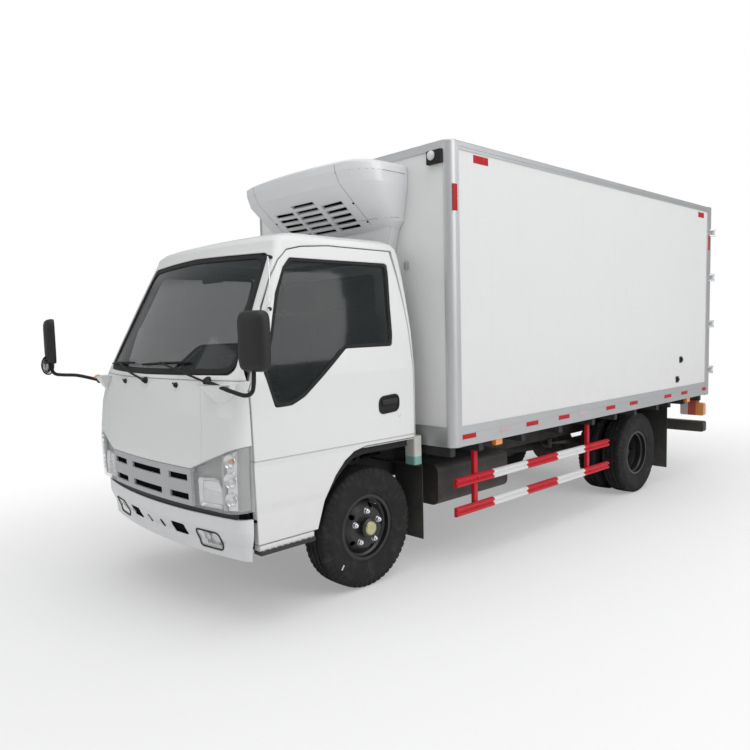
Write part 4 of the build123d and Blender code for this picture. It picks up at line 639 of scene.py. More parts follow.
def touch(tree, start, direction):
    """Where a line from the start meets the skin, and the outward direction there."""
    direction = Vector(direction)
    place, normal, _, _ = tree.ray_cast(start, direction)
    return (place, -normal if normal.dot(direction) > 0 else normal) if place else (None, None)


def front_hit(tree, x, z):
    """The first skin met by a ray from in front of the truck."""
    return touch(tree, at(x, AHEAD, z), Y_AXIS)


def side_hit(tree, side, behind, z):
    """The first skin met by a ray from beside the truck."""
    return touch(tree, at(side * BESIDE, behind, z), (-side, 0, 0))


def sunk(hit, depth):
    """The place at a depth below the skin."""
    place, out = hit
    return place - out * depth if place else None


def add_strip(bm, hits, width, height, closed=False, depth=0.0):
    """A low strip with rounded shoulders along the places hit, set in by a depth."""
    half, low, inner = width / 2, 0.55 * height, 0.4 * width
    section = [(-half, 0.0), (-half, low), (-inner, height), (inner, height), (half, low), (half, 0.0)]
    hits = [hit for hit in hits if hit[0]]
    line = [sunk(hit, depth) for hit in hits]
    add_sweep(bm, line, section, [out for _, out in hits], closed)
    return line


def neighbours(line):
    """Each place of a closed line between the one before and the one after."""
    return zip(line[-1:] + line[:-1], line, line[1:] + line[:1])


def rounded_outline(points, radius, steps=5, inset=0.0):
    """A closed outline with rounded corners, moved inward by the inset, in steps under 60 mm."""
    points = [Vector((*p, 0.0)) for p in points]
    area = sum(here.x * after.y - after.x * here.y for _, here, after in neighbours(points))
    inward = Vector((0, 0, math.copysign(1.0, area)))
    moved = []
    for before, here, after in neighbours(points):
        one, two = (inward.cross((b - a).normalized()) for a, b in ((before, here), (here, after)))
        bisector = (one + two).normalized()
        moved.append(here + bisector * inset / max(bisector.dot(one), 0.3))
    line = []
    for before, here, after in neighbours(moved):
        reach = min(radius, 0.45 * (here - before).length, 0.45 * (after - here).length)
        start = here + (before - here).normalized() * reach
        end = here + (after - here).normalized() * reach
        line += [(1 - t) ** 2 * start + 2 * t * (1 - t) * here + t * t * end for t in spread(0, 1, steps)]
    even = []
    for _, here, after in neighbours(line):
        parts = max(1, int((after - here).length / 0.03))
        even += spread(here, after, parts)[:-1]
    return [(p.x, p.y) for p in even]


def frame_outline(x_from, x_to, z_from, z_to, radius, steps):
    """The outline of an upright rectangle with rounded corners."""
    return rounded_outline([(x_from, z_from), (x_to, z_from), (x_to, z_to), (x_from, z_to)], radius, steps)


# ---- tyres and wheels
TYRE_PITCHES = 56
PITCH_STEPS = 6
SIDEWALL = mm([
    (73.5, 191.5), (76.5, 205), (76.5, 209), (83, 215), (84, 219), (83.5, 223), (88.5, 236), (93.5, 256),
    (97.5, 280), (99.5, 298), (99.5, 309), (98.2, 311), (98.5, 322), (96.8, 324), (94, 338), (90.5, 349),
    (86.5, 360), (80, 369),
])
# half the tread's width: place across, groove depth, and whether it follows the zigzag
TREAD = (
    (0.0745, 0, 0), (0.062, 0, 0), (0.0445, 0, 1), (0.043, 0.009, 1), (0.035, 0.009, 1), (0.0335, 0, 1),
    (0.017, 0, 0), (0.005, 0, 1), (0.0038, 0.009, 1),
)
NUT = [(0, 19), (2, 19), (2.2, 16.5), (17, 16.5), (20, 13.5), (20.5, 9.5), (28, 9.5), (29, 8), (29, 0)]
VALVE = [(0, 6), (20, 5), (35, 3.5), (45, 4), (50, 3)]
HUB_CAP = [(-8, 44.5), (-2, 45.5), (0, 45), (3, 43), (5.5, 37), (6.5, 30), (6.5, 12), (5.8, 10), (5.8, 0)]
HUB_FACE = 0.8085
BOLT_CIRCLE = 0.1016
# axle, body, tyre node, distance behind the front axle, tyres' middles, wheel disc's face
AXLES = (
    ("front", "front_wheel_", "tyre_front_", 0.0, (0.695,), 0.765),
    ("rear", "rear_wheels_", "tyres_rear_", WHEELBASE, (0.595, 0.83), 0.7225),
)


def tyre_ring(step):
    """A ribbed road tyre's section at one step: zigzag grooves, cut shoulders and raised sidewall bands."""
    phase = step % PITCH_STEPS
    zigzag = 0.0035 * (1 - abs(phase - PITCH_STEPS / 2) / (PITCH_STEPS / 4))
    cut = phase >= PITCH_STEPS - 2
    ring = []
    for sign in (1, -1):
        half = []
        for place, (u, r) in enumerate(SIDEWALL):
            shoulder = cut and place >= len(SIDEWALL) - 4
            half.append((sign * (u - 0.0035 * shoulder), r - 0.003 * shoulder))
        for place, (u, groove, wavy) in enumerate(TREAD):
            notch = 0.004 if place == 0 and cut else 0.003 if place == 6 and phase == 0 else 0.0
            crown = AXLE_HEIGHT - 0.0035 * (u / 0.08) ** 2
            half.append((sign * u + zigzag * wavy, crown - groove - notch))
        ring += half[::sign]
    return ring


def add_tyre(bm, side, x, behind):
    rings = []
    for step in range(TYRE_PITCHES * PITCH_STEPS):
        angle = 2 * math.pi * step / (TYRE_PITCHES * PITCH_STEPS)
        rings.append([
            at(side * (x + u), behind, AXLE_HEIGHT) + Vector((0, r * math.sin(angle), -r * math.cos(angle)))
            for u, r in tyre_ring(step)
        ])
    add_rings(bm, rings, closed=True)


for _, body, tyre, behind, places, _ in AXLES:
    for side, name in SIDES:
        bm = bmesh.new()
        for x in places:
            add_tyre(bm, side, x, behind)
        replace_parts(piece(tyre + name + "_treaded", bm, "tyre", body=body + name, sharp=28.0), tyre + name)

for axle, body, _, behind, _, face in AXLES:
    for side, name in SIDES:
        bm = bmesh.new()
        for angle in (math.radians(90 + 72 * k) for k in range(5)):
            away = Vector((0, BOLT_CIRCLE * math.cos(angle), BOLT_CIRCLE * math.sin(angle)))
            add_turned(bm, at(side * face, behind, AXLE_HEIGHT) + away, (side, 0, 0), NUT, 12)
        valve = at(side * (face - 0.02), behind + 0.05, AXLE_HEIGHT + 0.152)
        add_turned(bm, valve, (side, 0.1, -0.2), VALVE, 10)
        piece(f"wheel_nuts_{axle}_{name}", bm, "chrome", body + name)
        if axle == "front":
            bm = bmesh.new()
            add_turned(bm, at(side * HUB_FACE, behind, AXLE_HEIGHT), (side, 0, 0), HUB_CAP, 40)
            piece("hub_cap_front_" + name, bm, "zinc", body + name)
bm = bmesh.new()
add_block(bm, at(0.7915, -0.23, 0.166), at(0.795, -0.22, 0.198), 0.001, spin(-38))
piece("chalk_mark", bm, "mark_white", "front_wheel_left")

# ---- cab glass, seals and wipers
cab_front = skin_of("cab_glass", "front_panel", "cab_shell", "grille", "headlamps")
glass_front = skin_of("cab_glass")
WINDSCREEN = mm([(-763, 1374), (0, 1366), (763, 1374), (668, 2030), (0, 2048), (-668, 2030)])
bm = bmesh.new()
outline = rounded_outline(WINDSCREEN, 0.085, 6, 0.017)
add_strip(bm, [front_hit(glass_front, x, z) for x, z in outline], 0.036, 0.007, True)
piece("windscreen_seal", bm, "rubber")

DOOR_WINDOW = mm([
    (-775, 1385), (-640, 1800), (-560, 1945), (-500, 2003), (265, 2003), (222, 1750), (195, 1489),
    (-187, 1487), (-280, 1412), (-510, 1235), (-600, 1196), (-712, 1192),
])
DOOR_HANDLE = [(0.055, 1.08), (0.222, 1.09), (0.222, 1.19), (0.055, 1.18)]
# along the door, up, and out from the cup
PADDLE = (
    (-0.062, 0.012, 0.002), (-0.04, 0.014, 0.01), (0.0, 0.016, 0.014), (0.04, 0.017, 0.01),
    (0.064, 0.018, 0.002),
)
for side, name in SIDES:
    body = "cab_door_" + name
    bm = bmesh.new()
    glass = skin_of("door_glass_" + name)
    outline = rounded_outline(DOOR_WINDOW, 0.05, 5, 0.01)
    add_strip(bm, [side_hit(glass, side, y, z) for y, z in outline], 0.024, 0.008, True)
    piece("door_window_seal_" + name, bm, "rubber", body=body)

    # handle: bezel, cup and paddle, with the lock below it
    skin = skin_of("door_" + name)
    bm = bmesh.new()
    hits = [side_hit(skin, side, y, z) for y, z in rounded_outline(DOOR_HANDLE, 0.042, 6)]
    line = add_strip(bm, hits, 0.012, 0.0045, True)
    centre = sum(line, Vector()) / len(line) + Vector((side * 0.0012, 0, 0))
    add_rings(bm, [
        [centre.lerp(p, share) + Vector((side * lift, 0, 0)) for p in line]
        for share, lift in ((1.0, 0.0), (0.9, 0.0006), (0.55, 0.0007), (0.1, 0.0007))
    ])
    piece("door_handle_bezel_" + name, bm, "rubber", body)
    bm = bmesh.new()
    points = [centre + Vector((side * rise, y, z)) for y, z, rise in PADDLE]
    add_tube(bm, points, 0.017, 10, 6, (side, 0, 0), 0.45)
    piece("door_handle_paddle_" + name, bm, "trim_black", body=body)
    bm = bmesh.new()
    lock = [(-2, 11), (2, 11), (3.5, 9), (3.5, 4.5), (2, 4), (2, 0)]
    add_turned(bm, *side_hit(skin, side, 0.232, 1.055), lock, 20)
    piece("door_lock_" + name, bm, "chrome", body)

# pivot, elbow and grip as (x, z), then the blade's ends
WIPERS = (
    ("right", (0.036, 1.333), (-0.2, 1.368), (-0.46, 1.412), -0.72, -0.21),
    ("left", (0.6, 1.338), (0.36, 1.382), (0.15, 1.424), -0.07, 0.4),
)
for name, pivot, elbow, grip, from_x, to_x in WIPERS:
    bm = bmesh.new()
    hub, out = front_hit(cab_front, *pivot)
    add_turned(bm, hub, out, [(-4, 20), (10, 19), (12, 13), (22, 12), (26, 8), (26, 0)], 20)
    arm = [hub + out * 0.02, *(sunk(front_hit(cab_front, *place), -0.026) for place in (elbow, grip))]
    add_sweep(bm, smooth_line(arm, 6), bar_section(0.006, 0.004, -0.003, 0.004), out)
    spine, rubber = [], []
    for step, x in enumerate(spread(from_x, to_x, 8)):
        hit = front_hit(glass_front, x, grip[1] + 0.01 * (step - 4) / 4)
        if hit[0]:
            spine.append(sunk(hit, 0.006 * abs(step - 4) / 4 - 0.02))
            rubber.append(sunk(hit, -0.006))
    add_sweep(bm, spine, bar_section(0.006, 0.003, -0.002, 0.005), out)
    add_sweep(bm, rubber, bar_section(0.0035, 0.003, -0.004, 0.008), out)
    piece("wiper_" + name, bm, "rubber")
bm = bmesh.new()
for x in (-0.262, 0.352):
    place, out = front_hit(cab_front, x, 1.316)
    add_turned(bm, place, out, [(-3, 15), (5, 14.5), (12, 11), (16, 6), (17, 0)], 18)
    spout = [
        place + out * 0.008, place + Vector((-0.016, -0.01, 0.006)), place + Vector((-0.03, -0.006, 0.01)),
    ]
    add_tube(bm, spout, 0.004, 6, 3, out)
piece("washer_nozzles", bm, "rubber")

# aerial on the left screen pillar
cab_side = skin_of("cab_shell", "door_left", "front_panel")
bm, bm_feet = bmesh.new(), bmesh.new()
rod = []
for y, z, has_foot in ((-0.685, 1.716, True), (-0.64, 1.86, False), (-0.597, 2.0, True)):
    place, out = side_hit(cab_side, 1, y, z)
    rod.append(place + out * 0.018 + Vector((0.0, -0.012, 0.0)))
    if has_foot:
        stem = rod[-1] - place
        reach = stem.length * 1000
        add_turned(bm_feet, place, stem, [(-2, 11), (4, 10), (reach, 6), (reach + 5, 4)], 14)
add_tube(bm, [rod[0] - (rod[1] - rod[0]) * 0.25, *rod], 0.0028, 8, 4, (1, 0, 0))
piece("aerial_rod", bm, "chrome")
piece("aerial_feet", bm_feet, "rubber")

# ---- mirrors
ROUND_MIRROR = at(-1.066, -1.222, 1.405)
ROUND_AIM = (0.8, 0.6, 0.0)
LEFT_ARM = [
    (0.6, -0.966, 1.344), (0.655, -0.992, 1.342), (0.74, -0.982, 1.322), (0.85, -0.97, 1.299),
    (0.945, -0.957, 1.285), (0.992, -0.948, 1.306), (1.0, -0.942, 1.36), (1.0, -0.94, 1.42),
]
RIGHT_ARM = [
    (-0.75, -0.99, 1.3), (-0.79, -1.055, 1.322), (-0.85, -1.105, 1.337), (-0.95, -1.15, 1.339),
    (-1.02, -1.178, 1.345), (-1.046, -1.19, 1.375), (-1.046, -1.19, 1.43),
]
ROUND_STEM = [(-1.062, -1.221, 1.405), (-1.056, -1.205, 1.404), (-1.046, -1.19, 1.4)]
bm = bmesh.new()
for arm in (LEFT_ARM, RIGHT_ARM):
    add_tube(bm, [at(*p) for p in arm], 0.011, 12, 6, (0.1, 0.2, 1.0))
arm_skin = skin_of("cab_shell", "front_panel")
for x, _, z in (LEFT_ARM[0], RIGHT_ARM[0]):
    add_turned(bm, *front_hit(arm_skin, x, z), [(-12, 26), (2, 24), (10, 16), (20, 13), (20, 0)], 20)
rim = [(0, 12), (1, 38), (5, 57), (12, 65), (20, 66), (22, 63), (19, 60), (19, 0)]
add_turned(bm, ROUND_MIRROR, ROUND_AIM, rim, 36)
add_tube(bm, [at(*p) for p in ROUND_STEM], 0.008, 8, 4, Z_AXIS)
piece("mirror_arms", bm, "rubber")

MIRROR_DEPTH = 0.062
# housing: place along its depth and share of its full size; glass: distance back and share
HOUSING = (
    (-0.5, 0.35), (-0.47, 0.58), (-0.36, 0.8), (-0.15, 0.94), (0.15, 1.0), (0.4, 1.0), (0.5, 0.975),
    (0.5, 0.9), (0.44, 0.88),
)
GLASS = ((0.0268, 0.86), (0.0285, 0.86), (0.0292, 0.7), (0.0296, 0.05))


def mirror_rings(centre, turn, stack, least):
    """Rings of a rounded mirror; each keeps at least a part of its full height."""
    return [
        [
            centre + turn @ Vector((u, along, v))
            for u, v in oblong(0.091 * share, 0.15 * (0.55 * share + least), 0.42, 0.3, 40)
        ]
        for along, share in stack
    ]


bm_shell, bm_glass = bmesh.new(), bmesh.new()
for centre, degrees in ((at(1.005, -0.945, 1.552), 15.0), (at(-1.05, -1.195, 1.565), -14.0)):
    turn = spin(degrees, "Z")
    housing = [(along * MIRROR_DEPTH, share) for along, share in HOUSING]
    add_rings(bm_shell, mirror_rings(centre, turn, housing, 0.45))
    add_rings(bm_glass, mirror_rings(centre, turn, GLASS, 0.42))
add_turned(bm_glass, ROUND_MIRROR, ROUND_AIM, [(19.2, 60), (23.5, 44), (26, 24), (26.8, 0)], 36)
shells = piece("mirror_housings", bm_shell, "trim_black")
piece("mirror_glasses", bm_glass, "mirror_glass")
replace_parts(shells, "mirrors")
bm = bmesh.new()
add_turned(bm, at(-0.765, -1.0, 1.318), (-0.4, -0.6, 1.0), [(0, 24), (6, 23), (14, 16), (18, 0)], 20)
piece("side_repeater", bm, "lamp_amber")

# ---- lamps, grille and bumper
def front_sheet(bm, tree, xs, low, highs, depth, rows):
    """A sheet at a depth behind the front skin, from a level lower edge up to a height for each x."""
    add_sheet(bm, [
        [sunk(front_hit(tree, x, low + (high - low) * row / rows), depth) for x, high in zip(xs, highs)]
        for row in range(rows + 1)
    ])


def add_bulb(bm, centre, aim):
    add_turned(bm, centre, aim, [(0, 11), (6, 12), (12, 11), (17, 6), (18, 0)], 14)


lamp_skin = skin_of("headlamps")
bm, bm_column = bmesh.new(), bmesh.new()
for side in (-1, 1):
    front_sheet(bm, lamp_skin, spread(side * 0.5, side * 0.846, 24), 0.668, spread(0.868, 1.0, 24), 0.034, 12)
    columns = spread(side * 0.762, side * 0.838, 8)
    front_sheet(bm_column, lamp_skin, columns, 0.674, spread(0.972, 0.992, 8), 0.024, 24)
    # the lamp's back carried on round the cab's corner
    add_sheet(bm, [
        [sunk(side_hit(lamp_skin, side, y, z), 0.022) for y in spread(-0.95, -0.87, 4)]
        for z in spread(0.668, 1.0, 12)
    ])
piece("lamp_backs", bm, "lamp_case")
piece("lamp_columns", bm_column, "chrome")

MAIN_REFLECTOR = [(0.533, 0.67), (0.727, 0.676), (0.731, 0.792), (0.69, 0.836), (0.533, 0.826)]
MAIN_X, MAIN_Z = 0.632, 0.752
# share of the outline and depth behind the lens
MAIN_STEPS = (
    (1.03, 0.03), (1.0, 0.016), (0.94, 0.022), (0.78, 0.03), (0.55, 0.038), (0.3, 0.044), (0.1, 0.046),
)
# distance along and share of the radius
BOWL = ((0, 0.18), (1, 0.45), (4, 0.7), (9, 0.9), (14, 1.0), (16, 1.04), (12, 1.06), (-2, 0.8))
bm_bowl, bm_bulb, bm_turn, bm_rim = (bmesh.new() for _ in range(4))
for side in (-1, 1):
    outline = rounded_outline(MAIN_REFLECTOR, 0.022, 4)
    rings = []
    for share, depth in MAIN_STEPS:
        places = [(MAIN_X + (x - MAIN_X) * share, MAIN_Z + (z - MAIN_Z) * share) for x, z in outline]
        rings.append([sunk(front_hit(lamp_skin, side * x, z), depth) for x, z in places])
    add_rings(bm_bowl, [ring for ring in rings if all(ring)])
    for x, z, radius, bm_lamp in (
        (MAIN_X, MAIN_Z, 0, bm_bulb), (0.8, 0.938, 37, bm_turn), (0.802, 0.836, 40, bm_bulb),
        (0.8, 0.735, 36, bm_bulb),
    ):
        hit = front_hit(lamp_skin, side * x, z)
        aim = hit[1] + Vector((0, -0.8, 0))
        centre = sunk(hit, 0.024 if radius else 0.044)
        if radius:
            add_turned(bm_bowl, centre, aim, [(along, radius * share) for along, share in BOWL], 32)
        add_bulb(bm_lamp, centre, aim)
    # the bar between the main lamp and the outer column
    hits = [front_hit(lamp_skin, side * (0.744 + 0.0005 * k), 0.672 + 0.0245 * k) for k in range(13)]
    add_strip(bm_rim, hits, 0.018, 0.015, depth=0.026)
piece("lamp_bowls", bm_bowl, "chrome")
piece("lamp_bulbs", bm_bulb, "bulb")
piece("turn_bulbs", bm_turn, "amber_bulb")
piece("lamp_bars", bm_rim, "trim_grey")

GRILLE_HALF_WIDTH = 0.841
# a near-black sheet behind the grille: painted shade where its openings look into the dark
bm = bmesh.new()
rows = []
for z in spread(0.684, 0.842, 4):
    up = (z - 0.66) / 0.23
    bow = 0.072 + 0.004 * up
    radius = (GRILLE_HALF_WIDTH ** 2 + bow ** 2) / (2 * bow)
    middle = -1.0285 - 0.01 * up + radius
    rows.append([at(x, middle - math.sqrt(radius ** 2 - x ** 2), z) for x in spread(-0.478, 0.478, 30)])
add_sheet(bm, rows)
piece("grille_shade_sheet", bm, "dark_mesh")


def bumper_front(x, z):
    """How far back the bumper's front is at a place: bowed across, stepped out above its lower roll."""
    step = min(1.0, max(0.0, (z - 0.47) / 0.03))
    return -0.99 - 0.018 * step - 0.02 * max(0.0, (z - 0.5) / 0.05) + 0.1 * (x / 0.844) ** 2


# near-black sheets just behind the bumper's holes: painted shade inside the holes
HOLE_DEPTH = 0.0115
bm = bmesh.new()
for side in (-1, 1):
    for low, high, z_low, z_high in ((0.175, 0.365, 0.447, 0.545), (0.04, 0.12, 0.45, 0.53)):
        add_sheet(bm, [
            [at(x, bumper_front(x, z) + HOLE_DEPTH, z) for x in spread(side * low, side * high, 6)]
            for z in spread(z_low, z_high, 4)
        ])
piece("bumper_hole_shade_sheets", bm, "dark_mesh", "chassis")

fog_skin = skin_of("fog_lamps")
bumper_skin = skin_of("bumper", "fog_lamps")
FOG_BOWL = ((0, 0.2), (2, 0.6), (8, 0.95), (12, 1.0), (8, 1.05))
bm, bm_bowl, bm_frame = (bmesh.new() for _ in range(3))
for side in (-1, 1):
    front_sheet(bm, fog_skin, spread(side * 0.455, side * 0.629, 12), 0.435, [0.519] * 13, 0.026, 6)
    for x, radius in ((0.5, 28), (0.575, 36)):
        hit = front_hit(fog_skin, side * x, 0.477)
        profile = [(along, radius * share) for along, share in FOG_BOWL]
        add_turned(bm_bowl, sunk(hit, 0.022), hit[1] - Y_AXIS, profile, 28)
    outline = frame_outline(0.446, 0.638, 0.426, 0.528, 0.03, 5)
    add_strip(bm_frame, [front_hit(bumper_skin, side * x, z) for x, z in outline], 0.01, 0.004, True)
piece("fog_lamp_backs", bm, "lamp_case", "chassis")
piece("fog_lamp_bowls", bm_bowl, "chrome", "chassis")
piece("fog_lamp_frames", bm_frame, "rubber", "chassis")

bm = bmesh.new()
for side in (-1, 1):
    for y in spread(-0.815, -0.495, 8):
        add_block(bm, at(side * 0.79, y - 0.006, 0.4395), at(side * 0.846, y + 0.006, 0.4435), 0.0015)
piece("step_treads", bm, "stainless")

# ---- side guards
RAIL_HEIGHTS = (0.5675, 0.372)
RIB = mm([
    (955, -31), (958, -31.5), (971, -31.5), (974, -30), (984, -23), (985, -20), (985, -14), (984, -11),
    (974, -6), (972, -4), (972, 4), (974, 6), (984, 11), (985, 14), (985, 20), (984, 23), (974, 30),
    (971, 31.5), (958, 31.5), (955, 31),
])
GUARD_BOLT = [(0, 9), (2, 9.5), (6, 9), (7.5, 6), (7.6, 0)]
RAIL_STEPS = ((0.62, 0.94), (0.622, 1.0), (0.9, 1.0), (1.65, 1.0), (2.4, 1.0), (2.678, 1.0), (2.68, 0.94))
bm = bmesh.new()
for side in (-1, 1):
    for z in RAIL_HEIGHTS:
        add_rings(bm, [[at(side * x, y, z + up * share) for x, up in RIB] for y, share in RAIL_STEPS])
    for y in (0.858, 2.374):
        add_block(bm, at(side * 0.925, y - 0.02, 0.352), at(side * 0.9548, y + 0.02, 0.76), 0.006)
        for z in RAIL_HEIGHTS:
            add_turned(bm, at(side * 0.9715, y, z), (side, 0, 0), GUARD_BOLT, 6)
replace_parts(piece("guard_rails_and_posts", bm, "guard_white", body="chassis"), "side_guards")

# ---- wheel arch liners
ARCH = mm([
    (-441, 475), (-388, 629), (-301, 760), (-228, 835), (-154, 880), (-60, 900), (120, 900), (340, 900),
])
for side, name in SIDES:
    bm = bmesh.new()
    rings = []
    line = smooth_line([(0.0, y, z) for y, z in ARCH], 5)
    for i, point in enumerate(line):
        along = (line[min(i + 1, len(line) - 1)] - line[max(i - 1, 0)]).normalized()
        inward = Vector((0.0, along.z, -along.y))
        deep = 0.014 + 0.044 * min(1.0, max(0.0, (point.z - 0.475) / 0.35))
        outer, inner = point + inward * 0.002, point + inward * deep
        corners = ((0.8, outer), (0.803, inner), (0.725, inner), (0.725, outer))
        rings.append([at(side * x, p.y, p.z) for x, p in corners])
    add_rings(bm, rings)
    piece("arch_liner_" + name, bm, "rubber")

# ---- seats and cab trim
CHANNEL_WIDTH = 0.012
CHANNEL_DEPTH = 0.01
SEAT_FRONT, SEAT_REAR = -0.345, 0.165
SEAT_FOOT, SEAT_TOP = 0.985, 1.15
PIPING_INSET, PIPING_HEIGHT = 0.004, 1.118


def cushion(bm, low, high, degrees=0.0, crown=0.018, channels=(), round_off=0.045, grid=14):
    """A stuffed block: every face swells between its seams, and stitched channels cross its front."""
    middle, half = (low + high) / 2, (high - low) / 2
    turn = spin(degrees)
    verts = {}

    def vert(p):
        key = tuple(round(c, 4) for c in p)
        if key not in verts:
            inner = [max(-1 + round_off / h, min(1 - round_off / h, c)) for c, h in zip(p, half)]
            away = Vector((c - i) * h for c, i, h in zip(p, inner, half))
            reach = max(abs(c) for c in away)
            place = Vector(i * h for i, h in zip(inner, half)) + away.normalized() * reach
            for axis in range(3):
                one, two = (p[k] for k in range(3) if k != axis)
                if abs(abs(p[axis]) - 1) < 1e-6:
                    swell = (1 - one ** 2) * (1 - two ** 2)
                    place[axis] += math.copysign(crown * (swell - 0.75), p[axis])
            if channels and abs(p[0]) < 0.97:
                dip = sum(math.exp(-((p[0] - c) * half.x / CHANNEL_WIDTH) ** 2) for c in channels)
                place.y += CHANNEL_DEPTH * dip * (p[1] < -0.99)
                place.z -= CHANNEL_DEPTH * dip * (p[2] > 0.99 and half.z < 0.2)
            verts[key] = bm.verts.new(middle + turn @ place)
        return verts[key]

    steps = spread(-1, 1, grid)
    for axis, sign, i, j in product(range(3), (-1, 1), range(grid), range(grid)):
        corners = []
        for a, b in ((i, j), (i + 1, j), (i + 1, j + 1), (i, j + 1)):
            p = [sign, steps[a], steps[b]]
            corners.append(vert(p[-axis:] + p[:-axis]))
        bm.faces.new(corners[::sign])


def seam_cord(bm, low, high):
    """Piping around a cushion, just inside its edges."""
    middle, half = (low + high) / 2, (high - low) / 2
    rounded = oblong(half.x - PIPING_INSET, half.y - PIPING_INSET, 0.28, 0.28, 48)
    line = [Vector((middle.x + u, middle.y + v, PIPING_HEIGHT)) for u, v in rounded]
    add_sweep(bm, line, round_section(0.0045, 6), Z_AXIS, closed=True)


seat_pads = []
for name, x_from, x_to, places, channels in (
    ("driver", 0.135, 0.625, 1, (-0.45, 0.0, 0.45)),
    ("crew", -0.645, 0.06, 2, (-0.72, -0.34, 0.0, 0.34, 0.72)),
):
    bm = bmesh.new()
    low, high = at(x_from, SEAT_FRONT, SEAT_FOOT), at(x_to, SEAT_REAR, SEAT_TOP)
    cushion(bm, low, high, 0.0, 0.02, channels)
    seat_pads.append(piece("seat_cushion_" + name, bm, "seat_cloth", sharp=60))
    bm, bm_frame = bmesh.new(), bmesh.new()
    seam_cord(bm_frame, low, high)
    edges = spread(x_from, x_to, places)
    for a, b in zip(edges, edges[1:]):
        centre = (a + b) / 2
        cushion(bm, at(a + 0.006, 0.15, 1.13), at(b - 0.006, 0.262, 1.7), -6.0, 0.022, (-0.42, 0.42))
        rest_low, rest_high = at(centre - 0.125, 0.2, 1.735), at(centre + 0.125, 0.285, 1.915)
        cushion(bm, rest_low, rest_high, -3.0, 0.014, (), 0.035, 10)
        for x in (centre - 0.045, centre + 0.045):
            post = [at(x, 0.236, 1.64), at(x, 0.24, 1.7), at(x, 0.244, 1.78)]
            add_sweep(bm_frame, post, round_section(0.006, 8), Y_AXIS)
    add_block(bm_frame, at(x_from + 0.03, -0.3, 0.9555), at(x_to - 0.03, 0.14, 0.99), 0.006)
    seat_pads.append(piece("seat_back_" + name, bm, "seat_cloth", sharp=60))
    piece("seat_frame_" + name, bm_frame, "trim_black")
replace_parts(seat_pads[0], "seats")

bm = bmesh.new()
add_block(bm, at(-0.11, -0.56, 1.905), at(0.11, -0.535, 1.965), 0.01)
add_tube(bm, [at(0, -0.545, 1.945), at(0, -0.56, 2.0), at(0, -0.58, 2.052)], 0.008, 8, 4, Y_AXIS)
piece("inside_mirror", bm, "trim_black")
bm = bmesh.new()
for x, width in ((0.38, 0.3), (-0.3, 0.36)):
    for k in range(2):
        for start, end in ((-0.5, -0.04), (0.04, 0.5)):
            low = at(x + width * start, -0.735 + 0.004 * k, 1.145 + 0.07 * k)
            add_block(bm, low, at(x + width * end, -0.7, 1.195 + 0.07 * k), 0.006)
horn_pad = [(0, 58), (18, 56), (26, 46), (30, 30), (31, 0)]
add_turned(bm, at(0.38, -0.535, 1.33), (0.0, 0.6157, 0.788), horn_pad, 32)
piece("dash_vents_and_horn_pad", bm, "trim_black")

# ---- box fittings
BOX_SIDE = 1.04
BOX_FRONT = 0.52
# rivet rows: behind the front axle on the two posts, and heights on the lower and upper rail
FRONT_POST, REAR_POST = 0.592, 4.668
LOWER_RAIL, UPPER_RAIL = 0.885, 2.741
# behind the front axle: the rear's gaskets, hinge straps, rod brackets, lamps and blank plate
GASKET_BACK, HINGE_BACK, BRACKET_BACK = 4.7235, 4.733, 4.751
LAMP_BACK, PLATE_BACK = 4.6595, 4.7425


def rivet(bm, place, out):
    add_turned(bm, place, out, [(-0.5, 4.5), (0.99, 4.14), (1.87, 2.7), (2.2, 0)], 8)


bm = bmesh.new()
for side in (-1, 1):
    for z in (1.02 + 0.172 * k for k in range(10)):
        rivet(bm, at(side * BOX_SIDE, FRONT_POST, z), (side, 0, 0))
        rivet(bm, at(side * 0.999, BOX_FRONT, z + 0.05), -Y_AXIS)
        rivet(bm, at(side * BOX_SIDE, REAR_POST, z), (side, 0, 0))
    for y in (0.72 + 0.24 * k for k in range(17)):
        rivet(bm, at(side * BOX_SIDE, y + 0.09, LOWER_RAIL), (side, 0, 0))
        rivet(bm, at(side * BOX_SIDE, y, UPPER_RAIL), (side, 0, 0))
for x in spread(-0.88, 0.88, 8):
    rivet(bm, at(x, BOX_FRONT, 0.93), -Y_AXIS)
    rivet(bm, at(x, BOX_FRONT, 2.735), -Y_AXIS)
piece("box_rivets", bm, "stainless", "chassis")

RED_MARKS = (
    (0.613, 0.753), (1.339, 1.491), (1.772, 1.928), (2.514, 2.67), (2.939, 3.09), (3.648, 3.801),
    (4.034, 4.183), (4.56, 4.66),
)
PALE_MARKS = ((1.021, 1.147), (2.079, 2.19))
# the face each corner mark is on, its ends and its heights
CORNER_MARKS = (
    (1.0322, 0.767, 0.923, 2.64, 2.69), (BOX_SIDE, 0.548, 0.592, 2.32, 2.485),
    (1.0322, 4.409, 4.553, 2.635, 2.685), (BOX_SIDE, 4.662, 4.705, 2.32, 2.47),
)
bm_red, bm_pale = bmesh.new(), bmesh.new()
for side in (-1, 1):
    for marks, bm in ((RED_MARKS, bm_red), (PALE_MARKS, bm_pale)):
        for y_from, y_to in marks:
            low = at(side * (BOX_SIDE - 0.009), y_from, 0.8685)
            add_block(bm, low, at(side * (BOX_SIDE + 0.0015), y_to, 0.9), 0.0006)
    for face, y_from, y_to, z_from, z_to in CORNER_MARKS:
        low = at(side * (face - 0.001), y_from, z_from)
        add_block(bm_red, low, at(side * (face + 0.0013), y_to, z_to), 0.0005)
piece("red_marker_strips", bm_red, "mark_red", "chassis")
piece("white_marker_strips", bm_pale, "mark_faded", "chassis")

